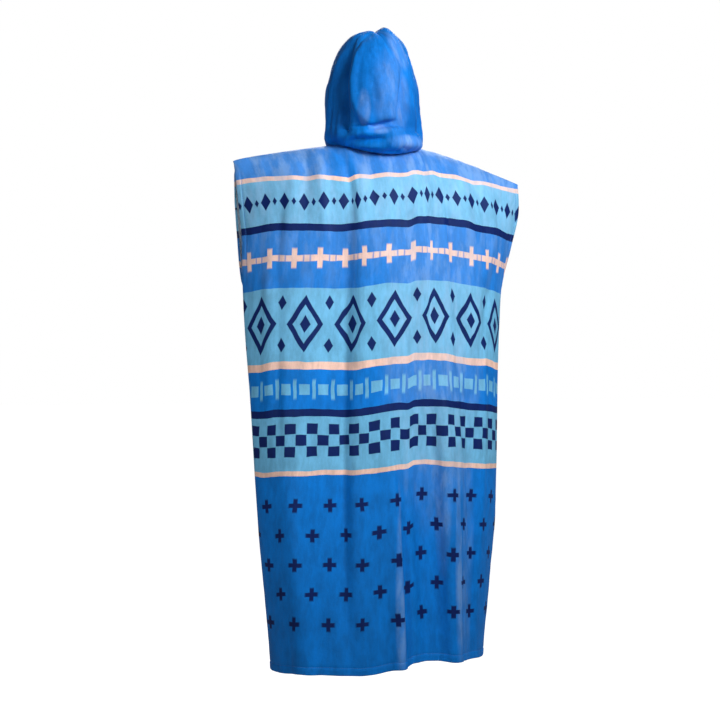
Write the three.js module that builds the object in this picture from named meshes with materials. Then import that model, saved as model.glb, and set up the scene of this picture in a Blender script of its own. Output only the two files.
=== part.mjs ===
import * as THREE from "three";

// A hooded bath poncho of thick towelling, in the shape it takes on a wearer with its hood up.
// Millimetres. X runs to the wearer's right, Y the way the wearer faces, and Z up. The origin is the
// middle of the neck opening, at the height of the shoulder seams' inner ends.
// Four pieces are cut and sewn: a back panel, a front panel and the two halves of the hood.
// Every surface below is the inside of the cloth, and its wall goes outwards from there.

// The cloth and its seams
const CLOTH = 3;
const SEAM_GAP = 0.3;
const HEM_DEPTH = 20;
const HEM_STEP = 1;
const HEM_EXTRA = 2.5;

// The cut of the neck, along the cloth from the shoulder line
const NECK_HALF = 95;
const NECK_BACK_SCOOP = 75;
const NECK_FRONT_SCOOP = 105;
const NECK_RISE = 5;

// The shoulders and the hem as worn: the hem rises a little across the middle and in a step right of it,
// sags again towards the right, and rises at its two corners
const HEM_Z = -1187;
const HEM_RISE = 13;
const HEM_STEP_UP = 8;
const HEM_SAG = 10;
const HEM_CORNER = 7;
const LEFT_TIP_DROP = 44;
const RIGHT_TIP_DROP = 70;
const SHOULDER_BEND = 1.12;
const BACK_ROUNDING = 165;
const FRONT_ROUNDING = 200;

// The slit that each arm goes through, between the panels' side edges
const ARMHOLE_TOP = -62;
const ARMHOLE_FOOT = -318;
const ARMHOLE_FRONT_OPEN = 44;
const ARMHOLE_BACK_OPEN = 8;
const ARMHOLE_REACH = 7;

// The worn body, level by level: half widths on each side, depths behind and before the shoulder line,
// how square the section is across the back, and how blunt it is at the side seams
const LEVELS = [
  { z: 0, left: 338, right: 352, back: 128, front: 112, square: 2.5, blunt: 0.86 },
  { z: -130, left: 325, right: 354, back: 134, front: 122, square: 2.5, blunt: 0.86 },
  { z: -210, left: 317, right: 335, back: 138, front: 126, square: 2.5, blunt: 0.84 },
  { z: -300, left: 314, right: 313, back: 139, front: 126, square: 2.5, blunt: 0.8 },
  { z: -420, left: 308, right: 305, back: 138, front: 124, square: 2.5, blunt: 0.76 },
  { z: -560, left: 298, right: 298, back: 137, front: 123, square: 2.4, blunt: 0.72 },
  { z: -720, left: 288, right: 295, back: 138, front: 126, square: 2.4, blunt: 0.68 },
  { z: -880, left: 275, right: 293, back: 141, front: 131, square: 2.3, blunt: 0.66 },
  { z: -1020, left: 260, right: 280, back: 144, front: 136, square: 2.3, blunt: 0.64 },
  { z: HEM_Z, left: 246, right: 263, back: 148, front: 140, square: 2.3, blunt: 0.62 },
];

// The side seams wander a little forwards and back on their way down
const SEAM_WANDER = 9;
const SEAM_WAVES = 1.4;

// The largest folds: where each crosses the panel at its top and at the hem, as a share of the half
// width; the depths at which it starts, is full and dies away; how high it stands; its half width as a
// share; and how much steeper its right side is than its left
const BACK_FOLDS = [
  { top: -0.78, hem: -0.8, start: 150, full: 520, end: 2000, high: 10, wide: 0.11, steep: -0.1 },
  { top: -0.56, hem: -0.66, start: 420, full: 980, end: 2000, high: -8, wide: 0.1, steep: 0 },
  { top: -0.35, hem: -0.43, start: 40, full: 240, end: 1200, high: -17, wide: 0.11, steep: 0.38 },
  { top: -0.4, hem: -0.42, start: 820, full: 1150, end: 2000, high: -6, wide: 0.12, steep: 0 },
  { top: -0.14, hem: -0.16, start: 60, full: 300, end: 2000, high: 9, wide: 0.12, steep: -0.2 },
  { top: -0.08, hem: 0.06, start: 480, full: 980, end: 2000, high: 17, wide: 0.08, steep: 0.3 },
  { top: 0.14, hem: 0.33, start: 380, full: 980, end: 2000, high: -13, wide: 0.1, steep: -0.15 },
  { top: 0.3, hem: 0.57, start: 240, full: 760, end: 2000, high: 15, wide: 0.085, steep: -0.3 },
  { top: 0.42, hem: 0.76, start: 110, full: 460, end: 1300, high: -9, wide: 0.07, steep: 0.2 },
];
// A fold that ends above the hem dies away over this depth.
const FOLD_FADE = 300;
const FRONT_FOLDS = [
  { top: -0.8, hem: -0.84, start: 300, full: 950, end: 2000, high: 11, wide: 0.1, steep: 0 },
  { top: -0.56, hem: -0.66, start: 160, full: 880, end: 2000, high: -12, wide: 0.12, steep: 0 },
  { top: -0.36, hem: -0.45, start: 130, full: 700, end: 2000, high: 13, wide: 0.1, steep: 0.25 },
  { top: -0.12, hem: -0.2, start: 150, full: 800, end: 2000, high: -11, wide: 0.12, steep: 0 },
  { top: 0.04, hem: 0.06, start: 260, full: 900, end: 2000, high: 14, wide: 0.1, steep: -0.2 },
  { top: 0.3, hem: 0.3, start: 140, full: 700, end: 2000, high: -10, wide: 0.12, steep: 0 },
  { top: 0.46, hem: 0.56, start: 170, full: 900, end: 2000, high: 14, wide: 0.095, steep: -0.25 },
  { top: 0.72, hem: 0.8, start: 260, full: 950, end: 2000, high: -9, wide: 0.1, steep: 0 },
];

// The hood, ring by ring from the neck seam to the top seam: its half widths, how far it reaches behind
// and before the wearer's neck, its height behind, beside and before, and the angle at which its face
// edge ends it. The first five rings make the roll of slack cloth at the nape.
const HOOD_RINGS = [
  { left: 101, right: 98, back: 92, front: 77, zBack: -17, zSide: 13, zFront: -32, end: 84 },
  { left: 112, right: 102, back: 112, front: 85, zBack: -13, zSide: 18, zFront: -22, end: 75 },
  { left: 118, right: 104, back: 122, front: 93, zBack: 5, zSide: 26, zFront: -6, end: 66 },
  { left: 118, right: 103, back: 117, front: 100, zBack: 26, zSide: 38, zFront: 14, end: 59 },
  { left: 116, right: 102, back: 105, front: 106, zBack: 38, zSide: 50, zFront: 36, end: 54 },
  { left: 114, right: 101, back: 108, front: 111, zBack: 58, zSide: 68, zFront: 62, end: 50 },
  { left: 112, right: 98, back: 113, front: 115, zBack: 92, zSide: 98, zFront: 98, end: 47 },
  { left: 108, right: 97, back: 114, front: 117, zBack: 130, zSide: 136, zFront: 138, end: 46 },
  { left: 96, right: 91, back: 107, front: 117, zBack: 170, zSide: 176, zFront: 178, end: 48 },
  { left: 80, right: 81, back: 92, front: 113, zBack: 206, zSide: 215, zFront: 217, end: 53 },
  { left: 59, right: 68, back: 72, front: 108, zBack: 234, zSide: 248, zFront: 244, end: 61 },
  { left: 33, right: 40, back: 52, front: 104, zBack: 252, zSide: 268, zFront: 257, end: 73 },
  { left: 12, right: 16, back: 43, front: 103, zBack: 257, zSide: 271, zFront: 259, end: 80 },
  { left: 0, right: 0, back: 40, front: 102, zBack: 256, zSide: 267, zFront: 259, end: 84 },
];
// A soft bump stands up beside the top seam on each side, the right one higher: its height on each side,
// its place beside the seam, its half width, and the heights between which it grows.
const CROWN = { left: 3, right: 12, beside: 24, wide: 20, from: 200, to: 262 };
// The largest folds of the hood, each a soft trough or ridge along a line: round from the centre seam,
// right side positive, in millimetres on this many a radian, and the height
const HOOD_AROUND = 105;
const HOOD_FOLDS = [
  { u0: -90, z0: -10, u1: -102, z1: 250, high: -17, wide: 14, bow: 3, sharp: 0.35 },
  { u0: -140, z0: -20, u1: -136, z1: 220, high: 7, wide: 13, bow: 3, sharp: 0 },
  { u0: 26, z0: 44, u1: 52, z1: 190, high: -8, wide: 15, bow: 8, sharp: -0.2 },
  { u0: -52, z0: 22, u1: 22, z1: 52, high: -11, wide: 10, bow: 5, sharp: -0.3 },
  { u0: -88, z0: 8, u1: -6, z1: 8, high: -10, wide: 9, bow: -3, sharp: 0 },
];
// The slack pouch at the back of the head: its middle, its half sizes, how far it stands out, and how
// sharp its left and lower edges and its right and upper edges are
const POUCH = { u: -20, z: 134, wide: 66, tall: 106, high: 11, sharp: 0.68, soft: 0.3 };
// The hood leans a little to the left, more and more up to this height.
const HOOD_LEAN = 10;
const LEAN_HEIGHT = 240;
// Its neck seam's outer edge stands a little off the body's cloth, as a share of the wall.
const SEAM_TILT = 0.15;

// How finely the solids are cut
const NECK_COLUMNS = 20;
const BACK_COLUMNS = 22;
const FRONT_COLUMNS = 16;
const PANEL_ROWS = 20;
const ROW_CROWDING = 1.35;
const HOOD_ROWS = 26;
const PROFILE_STEPS = 24;
const NUDGE = 0.002;

const DYES = {
  blue: 0x2f7fd6,
  deepBlue: 0x1f6cc4,
};

const smooth = (x) => {
  const c = THREE.MathUtils.clamp(x, 0, 1);
  return c * c * (3 - 2 * c);
};

// A table's row at a place between its rows, each column on a Catmull-Rom curve through the rows.
function between(rows, place) {
  const last = rows.length - 1;
  const i = Math.min(Math.floor(place), last - 1);
  const t = place - i;
  const made = {};
  for (const key of Object.keys(rows[0])) {
    const [a, b, c, d] = [-1, 0, 1, 2].map((k) => rows[THREE.MathUtils.clamp(i + k, 0, last)][key]);
    const bend = 3 * b - 3 * c + d - a;
    made[key] = b + 0.5 * t * (c - a + t * (2 * a - 5 * b + 4 * c - d + t * bend));
  }
  return made;
}

// The body's level at a height.
function levelAt(z) {
  const last = LEVELS.length - 1;
  if (z >= LEVELS[0].z) return LEVELS[0];
  let i = 0;
  while (i < last - 1 && LEVELS[i + 1].z > z) i++;
  const share = (z - LEVELS[i].z) / (LEVELS[i + 1].z - LEVELS[i].z);
  return between(LEVELS, i + Math.min(share, 1));
}

// The half width at a share q of the way across, from -1 at the left seam to 1 at the right one.
const halfWidth = (level, q) => THREE.MathUtils.lerp(level.left, level.right, smooth((q + 1) / 2));

// The share across of the neck opening's inner corner on each side.
const NECK_Q = NECK_HALF / halfWidth(LEVELS[0], 0);

// The height of the shoulder line.
function shoulderHeight(q) {
  const out = Math.max(0, (Math.abs(q) - NECK_Q) / (1 - NECK_Q));
  const drop = THREE.MathUtils.lerp(LEFT_TIP_DROP, RIGHT_TIP_DROP, smooth((q + 1) / 2));
  return NECK_RISE - drop * out ** SHOULDER_BEND;
}

// One panel: facing is -1 for the back and 1 for the front.
const BACK = {
  facing: -1,
  depth: "back",
  rounding: BACK_ROUNDING,
  scoop: NECK_BACK_SCOOP,
  folds: BACK_FOLDS,
  columns: BACK_COLUMNS,
};
const FRONT = {
  facing: 1,
  depth: "front",
  rounding: FRONT_ROUNDING,
  scoop: NECK_FRONT_SCOOP,
  folds: FRONT_FOLDS,
  columns: FRONT_COLUMNS,
};

// How deep the section is at a share across, at a level.
const depthAt = (side, level, q) =>
  level[side.depth] * Math.max(0, 1 - Math.abs(q) ** level.square) ** level.blunt;

// The height of the cloth at a length s below the shoulder line, and how far round the shoulder it is
// (0 on the line, 1 where it starts to hang straight). The cloth goes over the shoulder in a quarter
// ellipse, walked in equal steps.
function hang(side, q, s) {
  const deep = depthAt(side, levelAt(-side.rounding), q);
  const top = shoulderHeight(q);
  let walked = 0;
  for (let i = 1; i <= PROFILE_STEPS; i++) {
    const [from, to] = [(i - 1) / PROFILE_STEPS, i / PROFILE_STEPS].map((x) => (x * Math.PI) / 2);
    const across = deep * (Math.sin(to) - Math.sin(from));
    const down = side.rounding * (Math.cos(from) - Math.cos(to));
    const step = Math.hypot(across, down);
    if (walked + step >= s) {
      const angle = THREE.MathUtils.lerp(from, to, (s - walked) / step);
      return { z: top - side.rounding * (1 - Math.cos(angle)), round: Math.sin(angle) };
    }
    walked += step;
  }
  return { z: top - side.rounding - (s - walked), round: 1 };
}

function hemHeight(q) {
  const rise = HEM_RISE * smooth((q + 0.35) / 0.4) + HEM_STEP_UP * smooth((q - 0.1) / 0.07);
  const sag = HEM_SAG * smooth((q - 0.25) / 0.55);
  return HEM_Z + rise - sag + HEM_CORNER * smooth((Math.abs(q) - 0.86) / 0.14);
}

// The whole length of cloth from the shoulder line to the hem.
function lengthAt(side, q) {
  const past = 4000;
  return past - (hemHeight(q) - hang(side, q, past).z);
}

// How far the folds push the cloth out.
function foldHeight(side, q, z) {
  const depth = -z;
  let sum = 0;
  for (const f of side.folds) {
    const grown = smooth((depth - f.start) / (f.full - f.start));
    const left = 1 - smooth((depth - f.end + FOLD_FADE) / FOLD_FADE);
    const way = THREE.MathUtils.clamp((depth - f.start) / (-HEM_Z - f.start), 0, 1);
    const off = q - THREE.MathUtils.lerp(f.top, f.hem, way);
    const wide = f.wide * (off > 0 ? 1 - f.steep : 1 + f.steep);
    sum += f.high * grown * left * Math.exp(-((off / wide) ** 2));
  }
  return sum * (1 - Math.abs(q) ** 10);
}

// How far the armhole holds a panel's side edge away from the other panel's.
function armholeOpen(side, q, z) {
  const share = (z - ARMHOLE_TOP) / (ARMHOLE_FOOT - ARMHOLE_TOP);
  if (share <= 0 || share >= 1) return 0;
  const wide = side.facing > 0 ? ARMHOLE_FRONT_OPEN : ARMHOLE_BACK_OPEN;
  return wide * Math.sin(Math.PI * share) ** 0.8 * Math.abs(q) ** ARMHOLE_REACH;
}

function seamWander(z) {
  const below = smooth((ARMHOLE_FOOT - z) / 200);
  return SEAM_WANDER * Math.sin((2 * Math.PI * SEAM_WAVES * z) / HEM_Z) * below;
}

// The body without folds, at a share across and a length below the shoulder line.
function bodySmooth(side, q, s) {
  const { z, round } = hang(side, q, s);
  const level = levelAt(z);
  const out = SEAM_GAP / 2 + depthAt(side, level, q) * round + armholeOpen(side, q, z);
  const y = side.facing * out + seamWander(z) * Math.abs(q) ** 4;
  return new THREE.Vector3(q * halfWidth(level, q), y, z);
}

// The outward normal of a surface given as a function of two numbers, by its slopes there.
function normalOf(surface, a, b, stepA, stepB, facing) {
  const across = surface(a + stepA, b).sub(surface(a - stepA, b));
  const down = surface(a, b + stepB).sub(surface(a, b - stepB));
  return across.cross(down).multiplyScalar(facing).normalize();
}

// The body with its folds: a point and its normal. The angle runs across the panel, so that points crowd
// towards the side seams where the section turns.
function bodyPoint(side, angle, s) {
  const plain = (a, b) => bodySmooth(side, Math.sin(a), Math.max(b, 0));
  const folded = (a, b) => {
    const at = plain(a, b);
    const n = normalOf(plain, a, Math.max(b, 2), NUDGE, 2, side.facing);
    return at.addScaledVector(n, foldHeight(side, Math.sin(a), at.z));
  };
  const limit = Math.PI / 2 - 2 * NUDGE;
  const inside = THREE.MathUtils.clamp(angle, -limit, limit);
  const n = normalOf(folded, inside, Math.max(s, 3), NUDGE, 3, side.facing);
  return { at: folded(angle, s), n };
}

// The length at which the panel starts: 0 on the shoulder seam, and the scoop's curve at the neck.
function neckStart(side, q) {
  const inside = 1 - (q / NECK_Q) ** 2;
  return inside > 0 ? side.scoop * Math.sqrt(inside) : 0;
}

// Angles across the panel, with one on each end of the neck opening. Within the neck they are spaced so
// that the scoop's curve turns evenly.
function columnAngles(shoulderColumns) {
  const neck = Math.asin(NECK_Q);
  const angles = [];
  for (let i = 0; i < shoulderColumns; i++) {
    angles.push(THREE.MathUtils.lerp(-Math.PI / 2, -neck, i / shoulderColumns));
  }
  for (let i = 0; i <= NECK_COLUMNS; i++) {
    angles.push(Math.asin(NECK_Q * -Math.cos((Math.PI * i) / NECK_COLUMNS)));
  }
  for (let i = shoulderColumns - 1; i >= 0; i--) {
    angles.push(THREE.MathUtils.lerp(Math.PI / 2, neck, i / shoulderColumns));
  }
  return angles;
}

// Closes a wall from a grid of inner points and a grid of outer points: both faces and the four rims.
// turned says that the grid's rows and columns run so that the outer face would point in.
function wall(inner, outer, turned) {
  const rows = inner.length;
  const cols = inner[0].length;
  const positions = [];
  for (const grid of [inner, outer]) {
    for (const row of grid) for (const p of row) positions.push(p.x, p.y, p.z);
  }
  const index = [];
  const id = (layer, i, j) => layer * rows * cols + i * cols + j;
  const quad = (a, b, c, d) => (turned ? index.push(a, c, b, a, d, c) : index.push(a, b, c, a, c, d));
  for (let i = 0; i < rows - 1; i++) {
    for (let j = 0; j < cols - 1; j++) {
      quad(id(1, i, j), id(1, i + 1, j), id(1, i + 1, j + 1), id(1, i, j + 1));
      quad(id(0, i, j), id(0, i, j + 1), id(0, i + 1, j + 1), id(0, i + 1, j));
    }
  }
  for (let j = 0; j < cols - 1; j++) {
    quad(id(0, 0, j), id(1, 0, j), id(1, 0, j + 1), id(0, 0, j + 1));
    quad(id(0, rows - 1, j), id(0, rows - 1, j + 1), id(1, rows - 1, j + 1), id(1, rows - 1, j));
  }
  for (let i = 0; i < rows - 1; i++) {
    quad(id(0, i, 0), id(0, i + 1, 0), id(1, i + 1, 0), id(1, i, 0));
    quad(id(0, i, cols - 1), id(1, i, cols - 1), id(1, i + 1, cols - 1), id(0, i + 1, cols - 1));
  }
  const geometry = new THREE.BufferGeometry();
  geometry.setAttribute("position", new THREE.Float32BufferAttribute(positions, 3));
  geometry.setIndex(index);
  geometry.computeVertexNormals();
  return geometry;
}

// One panel's wall, with a turned hem on the inside along its foot.
function panelGeometry(side) {
  const angles = columnAngles(side.columns);
  const inner = [];
  const outer = [];
  const lay = (share, below, thicker) => {
    const innerRow = [];
    const outerRow = [];
    for (const angle of angles) {
      const q = Math.sin(angle);
      const start = neckStart(side, q);
      const s = THREE.MathUtils.lerp(start, lengthAt(side, q) - HEM_DEPTH, share) + below;
      const { at, n } = bodyPoint(side, angle, s);
      // On a seam the normal doesn't lean over the other piece.
      if (s < 1 || Math.abs(q) > 0.999) n.y = side.facing * Math.max(0, side.facing * n.y);
      n.normalize();
      innerRow.push(at.clone().addScaledVector(n, -thicker));
      outerRow.push(at.clone().addScaledVector(n, CLOTH));
    }
    inner.push(innerRow);
    outer.push(outerRow);
  };
  for (let i = 0; i <= PANEL_ROWS; i++) lay((i / PANEL_ROWS) ** ROW_CROWDING, 0, 0);
  lay(1, HEM_STEP, HEM_EXTRA);
  lay(1, HEM_DEPTH, HEM_EXTRA);
  return wall(inner, outer, side.facing > 0);
}

// A point of the neck seam, on the outside of the body's cloth and clear of it by the seam's gap. angle
// is -90 degrees at the nape, 0 on the shoulder seam and 90 at the throat; along is how far it lies
// outside the neck's edge.
function neckSeam(angle, hand, along) {
  const side = angle < 0 ? BACK : FRONT;
  const q = hand * NECK_Q * Math.cos(angle);
  const reach = along * Math.cos(angle) * NECK_Q / NECK_HALF;
  const s = side.scoop * Math.abs(Math.sin(angle)) + along * Math.abs(Math.sin(angle));
  const { at, n } = bodyPoint(side, Math.asin(q + hand * reach), s);
  return at.addScaledVector(n, CLOTH + SEAM_GAP + SEAM_TILT * along);
}

// The hood's inside above the neck seam, without its folds: place counts the rings, angle runs from the
// nape to the face edge as a share, and hand is -1 for the left half and 1 for the right.
function hoodSmooth(hand, place, share) {
  const ring = between(HOOD_RINGS, THREE.MathUtils.clamp(place, 0, HOOD_RINGS.length - 1));
  const angle = THREE.MathUtils.degToRad(THREE.MathUtils.lerp(-90, ring.end, share));
  const away = Math.sin(angle);
  const turn = away * away;
  const z = THREE.MathUtils.lerp(ring.zSide, away < 0 ? ring.zBack : ring.zFront, turn);
  const y = away * (away < 0 ? ring.back : ring.front);
  const half = Math.max(0, hand < 0 ? ring.left : ring.right);
  const beside = half * Math.cos(angle);
  const grown = smooth((z - CROWN.from) / (CROWN.to - CROWN.from)) * (1 - smooth((away - 0.2) / 0.6));
  const bell = Math.exp(-(((beside - CROWN.beside) / CROWN.wide) ** 2)) * smooth(beside / CROWN.beside);
  const bump = (hand < 0 ? CROWN.left : CROWN.right) * grown * bell;
  const at = new THREE.Vector3(hand * (SEAM_GAP / 2 + beside), y, z + bump);
  return { at, u: hand * (angle + Math.PI / 2) * HOOD_AROUND };
}

// How far the hood's folds and its pouch push the cloth out.
function hoodFoldHeight(u, z) {
  let sum = 0;
  for (const f of HOOD_FOLDS) {
    const du = f.u1 - f.u0;
    const dz = f.z1 - f.z0;
    const length = Math.hypot(du, dz);
    const along = THREE.MathUtils.clamp(((u - f.u0) * du + (z - f.z0) * dz) / length ** 2, 0, 1);
    const off = ((u - f.u0) * dz - (z - f.z0) * du) / length + f.bow * Math.sin(Math.PI * along);
    const wide = f.wide * (1 - f.sharp * Math.sign(off));
    sum += f.high * Math.sin(Math.PI * along) ** 0.7 * Math.exp(-((off / wide) ** 2));
  }
  const across = (u - POUCH.u) / POUCH.wide;
  const up = (z - POUCH.z) / POUCH.tall;
  const reach = (Math.abs(across) ** 2.6 + Math.abs(up) ** 2.6) ** (1 / 2.6);
  const softness = smooth(0.5 + 0.7 * (across + 0.6 * up));
  const level = THREE.MathUtils.lerp(POUCH.sharp, POUCH.soft, softness);
  return sum + POUCH.high * (1 - smooth((reach - level) / (1 - level)));
}

// The hood's inside with its folds, which fade at the neck seam, the top seam and the face edge: a point
// and its normal.
function hoodPoint(hand, place, share) {
  const last = HOOD_RINGS.length - 1;
  const plain = (a, b) => hoodSmooth(hand, a, b).at;
  const folded = (a, b) => {
    const { at, u } = hoodSmooth(hand, a, b);
    const nearPlace = THREE.MathUtils.clamp(a, 0.05, last - 0.05);
    const n = normalOf(plain, nearPlace, THREE.MathUtils.clamp(b, 0.01, 0.99), 0.04, 0.008, -hand);
    const fade = smooth(a / 1.2) * smooth((last - a) / 2) * smooth((1 - b) / 0.16);
    return at.addScaledVector(n, hoodFoldHeight(u, at.z) * fade);
  };
  const nearPlace = THREE.MathUtils.clamp(place, 0.05, last - 0.05);
  const n = normalOf(folded, nearPlace, THREE.MathUtils.clamp(share, 0.01, 0.99), 0.04, 0.008, -hand);
  return { at: folded(place, share), n };
}

// Keeps a point of one half on its own side of the centre seam, and then leans it.
function settle(p, hand) {
  p.x = hand * Math.max(SEAM_GAP / 2, hand * p.x) - HOOD_LEAN * smooth(p.z / LEAN_HEIGHT);
  return p;
}

function hoodGeometry(hand) {
  const inner = [];
  const outer = [];
  const columns = [];
  for (let j = 0; j <= NECK_COLUMNS; j++) columns.push(j / NECK_COLUMNS);
  const lastRing = HOOD_RINGS.length - 1;
  // The first row stands on the body's cloth along the neck's edge.
  const seamAngle = (share) => THREE.MathUtils.degToRad(THREE.MathUtils.lerp(-90, 90, share));
  inner.push(columns.map((c) => settle(neckSeam(seamAngle(c), hand, 0), hand)));
  outer.push(columns.map((c) => settle(neckSeam(seamAngle(c), hand, CLOTH), hand)));
  for (let i = 0; i <= HOOD_ROWS; i++) {
    const place = (i / HOOD_ROWS) * lastRing;
    const innerRow = [];
    const outerRow = [];
    for (const share of columns) {
      const { at, n } = hoodPoint(hand, place, share);
      // On the centre seam the normal doesn't lean over the other half.
      if (share === 0 || i === HOOD_ROWS) n.x = hand * Math.max(0, hand * n.x);
      n.normalize();
      const hem = share === 1 ? HEM_EXTRA : 0;
      innerRow.push(settle(at.clone().addScaledVector(n, -hem), hand));
      outerRow.push(settle(at.clone().addScaledVector(n, CLOTH), hand));
    }
    inner.push(innerRow);
    outer.push(outerRow);
  }
  return wall(inner, outer, hand > 0);
}

function cloth(name, geometry, colour) {
  const material = new THREE.MeshStandardMaterial({ color: colour, roughness: 0.95, metalness: 0 });
  const mesh = new THREE.Mesh(geometry, material);
  mesh.name = name;
  return mesh;
}

const poncho = new THREE.Group();
poncho.add(cloth("back_panel", panelGeometry(BACK), DYES.blue));
poncho.add(cloth("front_panel", panelGeometry(FRONT), DYES.blue));
poncho.add(cloth("hood_left", hoodGeometry(-1), DYES.deepBlue));
poncho.add(cloth("hood_right", hoodGeometry(1), DYES.deepBlue));

export default poncho;
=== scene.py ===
"""A hooded bath poncho of printed velour towelling, in the shape it takes on a wearer, hood up."""
import math

import bpy
import numpy as np
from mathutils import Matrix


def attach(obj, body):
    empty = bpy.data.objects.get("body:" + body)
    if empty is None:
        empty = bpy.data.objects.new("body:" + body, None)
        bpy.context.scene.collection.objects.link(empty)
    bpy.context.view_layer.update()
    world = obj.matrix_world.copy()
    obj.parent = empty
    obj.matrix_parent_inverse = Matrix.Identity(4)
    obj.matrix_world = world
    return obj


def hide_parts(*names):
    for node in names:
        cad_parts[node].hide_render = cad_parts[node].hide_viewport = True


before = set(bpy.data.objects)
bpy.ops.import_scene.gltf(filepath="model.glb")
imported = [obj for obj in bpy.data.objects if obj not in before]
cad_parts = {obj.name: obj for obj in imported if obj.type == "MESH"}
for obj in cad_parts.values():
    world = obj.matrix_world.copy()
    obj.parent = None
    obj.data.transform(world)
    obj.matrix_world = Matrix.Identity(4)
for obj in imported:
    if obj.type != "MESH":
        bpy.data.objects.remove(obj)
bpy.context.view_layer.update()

# The cloth in metres, as it is all over and in its turned hems. Each panel's edge laps past the side
# seam's line, so that no light comes through.
CLOTH = 0.003
SEAM_LAP = 0.00005
SEAM_SINK = {"deep": 0.0010, "wide": 0.004, "grown": 0.03}
SHOULDER_DIP = {"deep": 0.0012, "wide": 0.004}
HEM_DEPTH = 0.020
HEM_STITCH = 0.0175
HEM_RAISED = {"high": 0.0006, "over": 0.003}
STITCH_SINK = {"deep": 0.0009, "wide": 0.0017}
HEM_THICKNESS = 0.0052
FIELD_THICKNESS = 0.0018
THICKNESS_STEP = 0.002
EDGE_ROUND = 0.0022
EDGE_GROWN = 0.01

# The cut of the neck, along the cloth from the shoulder line
NECK_HALF = 0.095
NECK_SCOOP = {"back": 0.075, "front": 0.105}
NECK_RISE = 0.005

# The shoulders and the hem as worn
HEM_Z = -1.187
HEM_CORNER = {"left": -0.007, "right": -0.008, "start": 0.78}
LEFT_TIP_DROP = 0.044
RIGHT_TIP_DROP = 0.070
SHOULDER_BEND = 1.12
ROUNDING = {"back": 0.165, "front": 0.200}
FACING = {"back": -1, "front": 1}

# The slit that each arm goes through
ARMHOLE_TOP = -0.062
ARMHOLE_FOOT = -0.318
ARMHOLE_OPEN = {"back": 0.008, "front": 0.044}
ARMHOLE_REACH = 7
ARMHOLE_FULLNESS = 0.8
ARMHOLE_HEM = 0.014
ARMHOLE_END = 0.03

# The side seams wander forwards and back below the slits
SEAM_WANDER = 0.009
SEAM_WAVES = 1.4
WANDER_GROWN = 0.2

# The panels' length in the middle, by which the print is measured up from the hem
PRINT_LENGTH = 1.262

# The panels' grids: columns and rows, rows closer near the shoulders, where the even rows end above the
# hem, and the rows of the hem itself
PANEL_GRID = {"back": (161, 232), "front": (141, 200)}
ROW_CROWDING = 1.12
EVEN_ROWS_END = 0.030
HEM_ROWS = (0.026, 0.022, 0.0192, HEM_STITCH, 0.016, 0.0145, 0.010, 0.006, 0.003, 0.0018, 0.0008, 0.0)
SIDE_EDGE = 0.999
TOP_EDGE = 0.001

# The hood
HOOD_LEAN = 0.010
LEAN_HEIGHT = 0.240
SEWN_IN = 0.0006
FACE_HEM = 0.016
HOOD_AROUND = 0.105
HOOD_GRID = (111, 150)
COLUMN_CROWDING = 0.92
HOOD_SEAM = {"deep": 0.0003, "wide": 0.0010, "ring": 0.03}

# How the hood's relief fades out: in rings at the neck and the top seam, and as a share of the way round
# or a length at the face edge
FOLDS_FADE = {"neck": 1.2, "top": 2, "face": 0.16}
CREASES_FADE = {"neck": 0.6, "top": 1.2, "face": 0.03}
THIN_AT_TOP = 0.6

# The same for the panels, as lengths
PANEL_FADE = {"side": 0.02, "above": 0.004, "top": 0.03}

# How fast a trough falls off, the steps of the shoulder's curve, and the steps that a slope is taken
# over: an angle, a length of plain or folded cloth, and on the hood a share of a ring and of the way round
TROUGH_KINK = 1.4
PROFILE_STEPS = 24
NUDGE = 0.002
PLAIN_STEP = 0.002
FOLDED_STEP = 0.003
FINE_STEPS = (0.04, 0.008)
WIDE_STEPS = (0.16, 0.016)
STEP_MARGINS = (0.01, 0.002)
FAR_DOWN = 4.0

# How a large fold dies away, how full a crease is along its line, and the rumples' table of noise
FOLD_END = 0.3
CREASE_FULLNESS = 0.7
NOISE_SIDE = 64
NOISE_MIDDLE = (31.5, 17.5)


def columns(names, *rows):
    """A table: each named column as an array."""
    return {name: np.array([row[i] for row in rows], float) for i, name in enumerate(names.split())}


# The worn body, level by level
LEVELS = columns(
    "z left right back front square blunt",
    (0.000, 0.338, 0.352, 0.128, 0.112, 2.5, 0.86),
    (-0.130, 0.325, 0.354, 0.134, 0.122, 2.5, 0.86),
    (-0.210, 0.317, 0.335, 0.138, 0.126, 2.5, 0.84),
    (-0.300, 0.314, 0.313, 0.139, 0.126, 2.5, 0.80),
    (-0.420, 0.308, 0.305, 0.138, 0.124, 2.5, 0.76),
    (-0.560, 0.298, 0.298, 0.137, 0.123, 2.4, 0.72),
    (-0.720, 0.288, 0.295, 0.138, 0.126, 2.4, 0.68),
    (-0.880, 0.275, 0.293, 0.141, 0.131, 2.3, 0.66),
    (-1.020, 0.260, 0.280, 0.144, 0.136, 2.3, 0.64),
    (HEM_Z, 0.246, 0.263, 0.148, 0.140, 2.3, 0.62),
)

# The hem's line: how much it rises, from which share across the body and over how much of it
HEM_LINE = columns(
    "high start over",
    (0.013, -0.35, 0.40),
    (0.008, 0.10, 0.07),
    (-0.014, 0.25, 0.60),
)

# Rumples of three sizes
PANEL_RUMPLES = columns(
    "high across along",
    (0.0016, 0.050, 0.190),
    (0.0008, 0.022, 0.070),
    (0.0004, 0.011, 0.017),
)
HOOD_RUMPLES = columns(
    "high across along",
    (0.0020, 0.034, 0.070),
    (0.0011, 0.016, 0.030),
    (0.0005, 0.008, 0.010),
)
RUMPLE_SEED = {"back": 11, "front": 23, "hood": 41}

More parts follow.
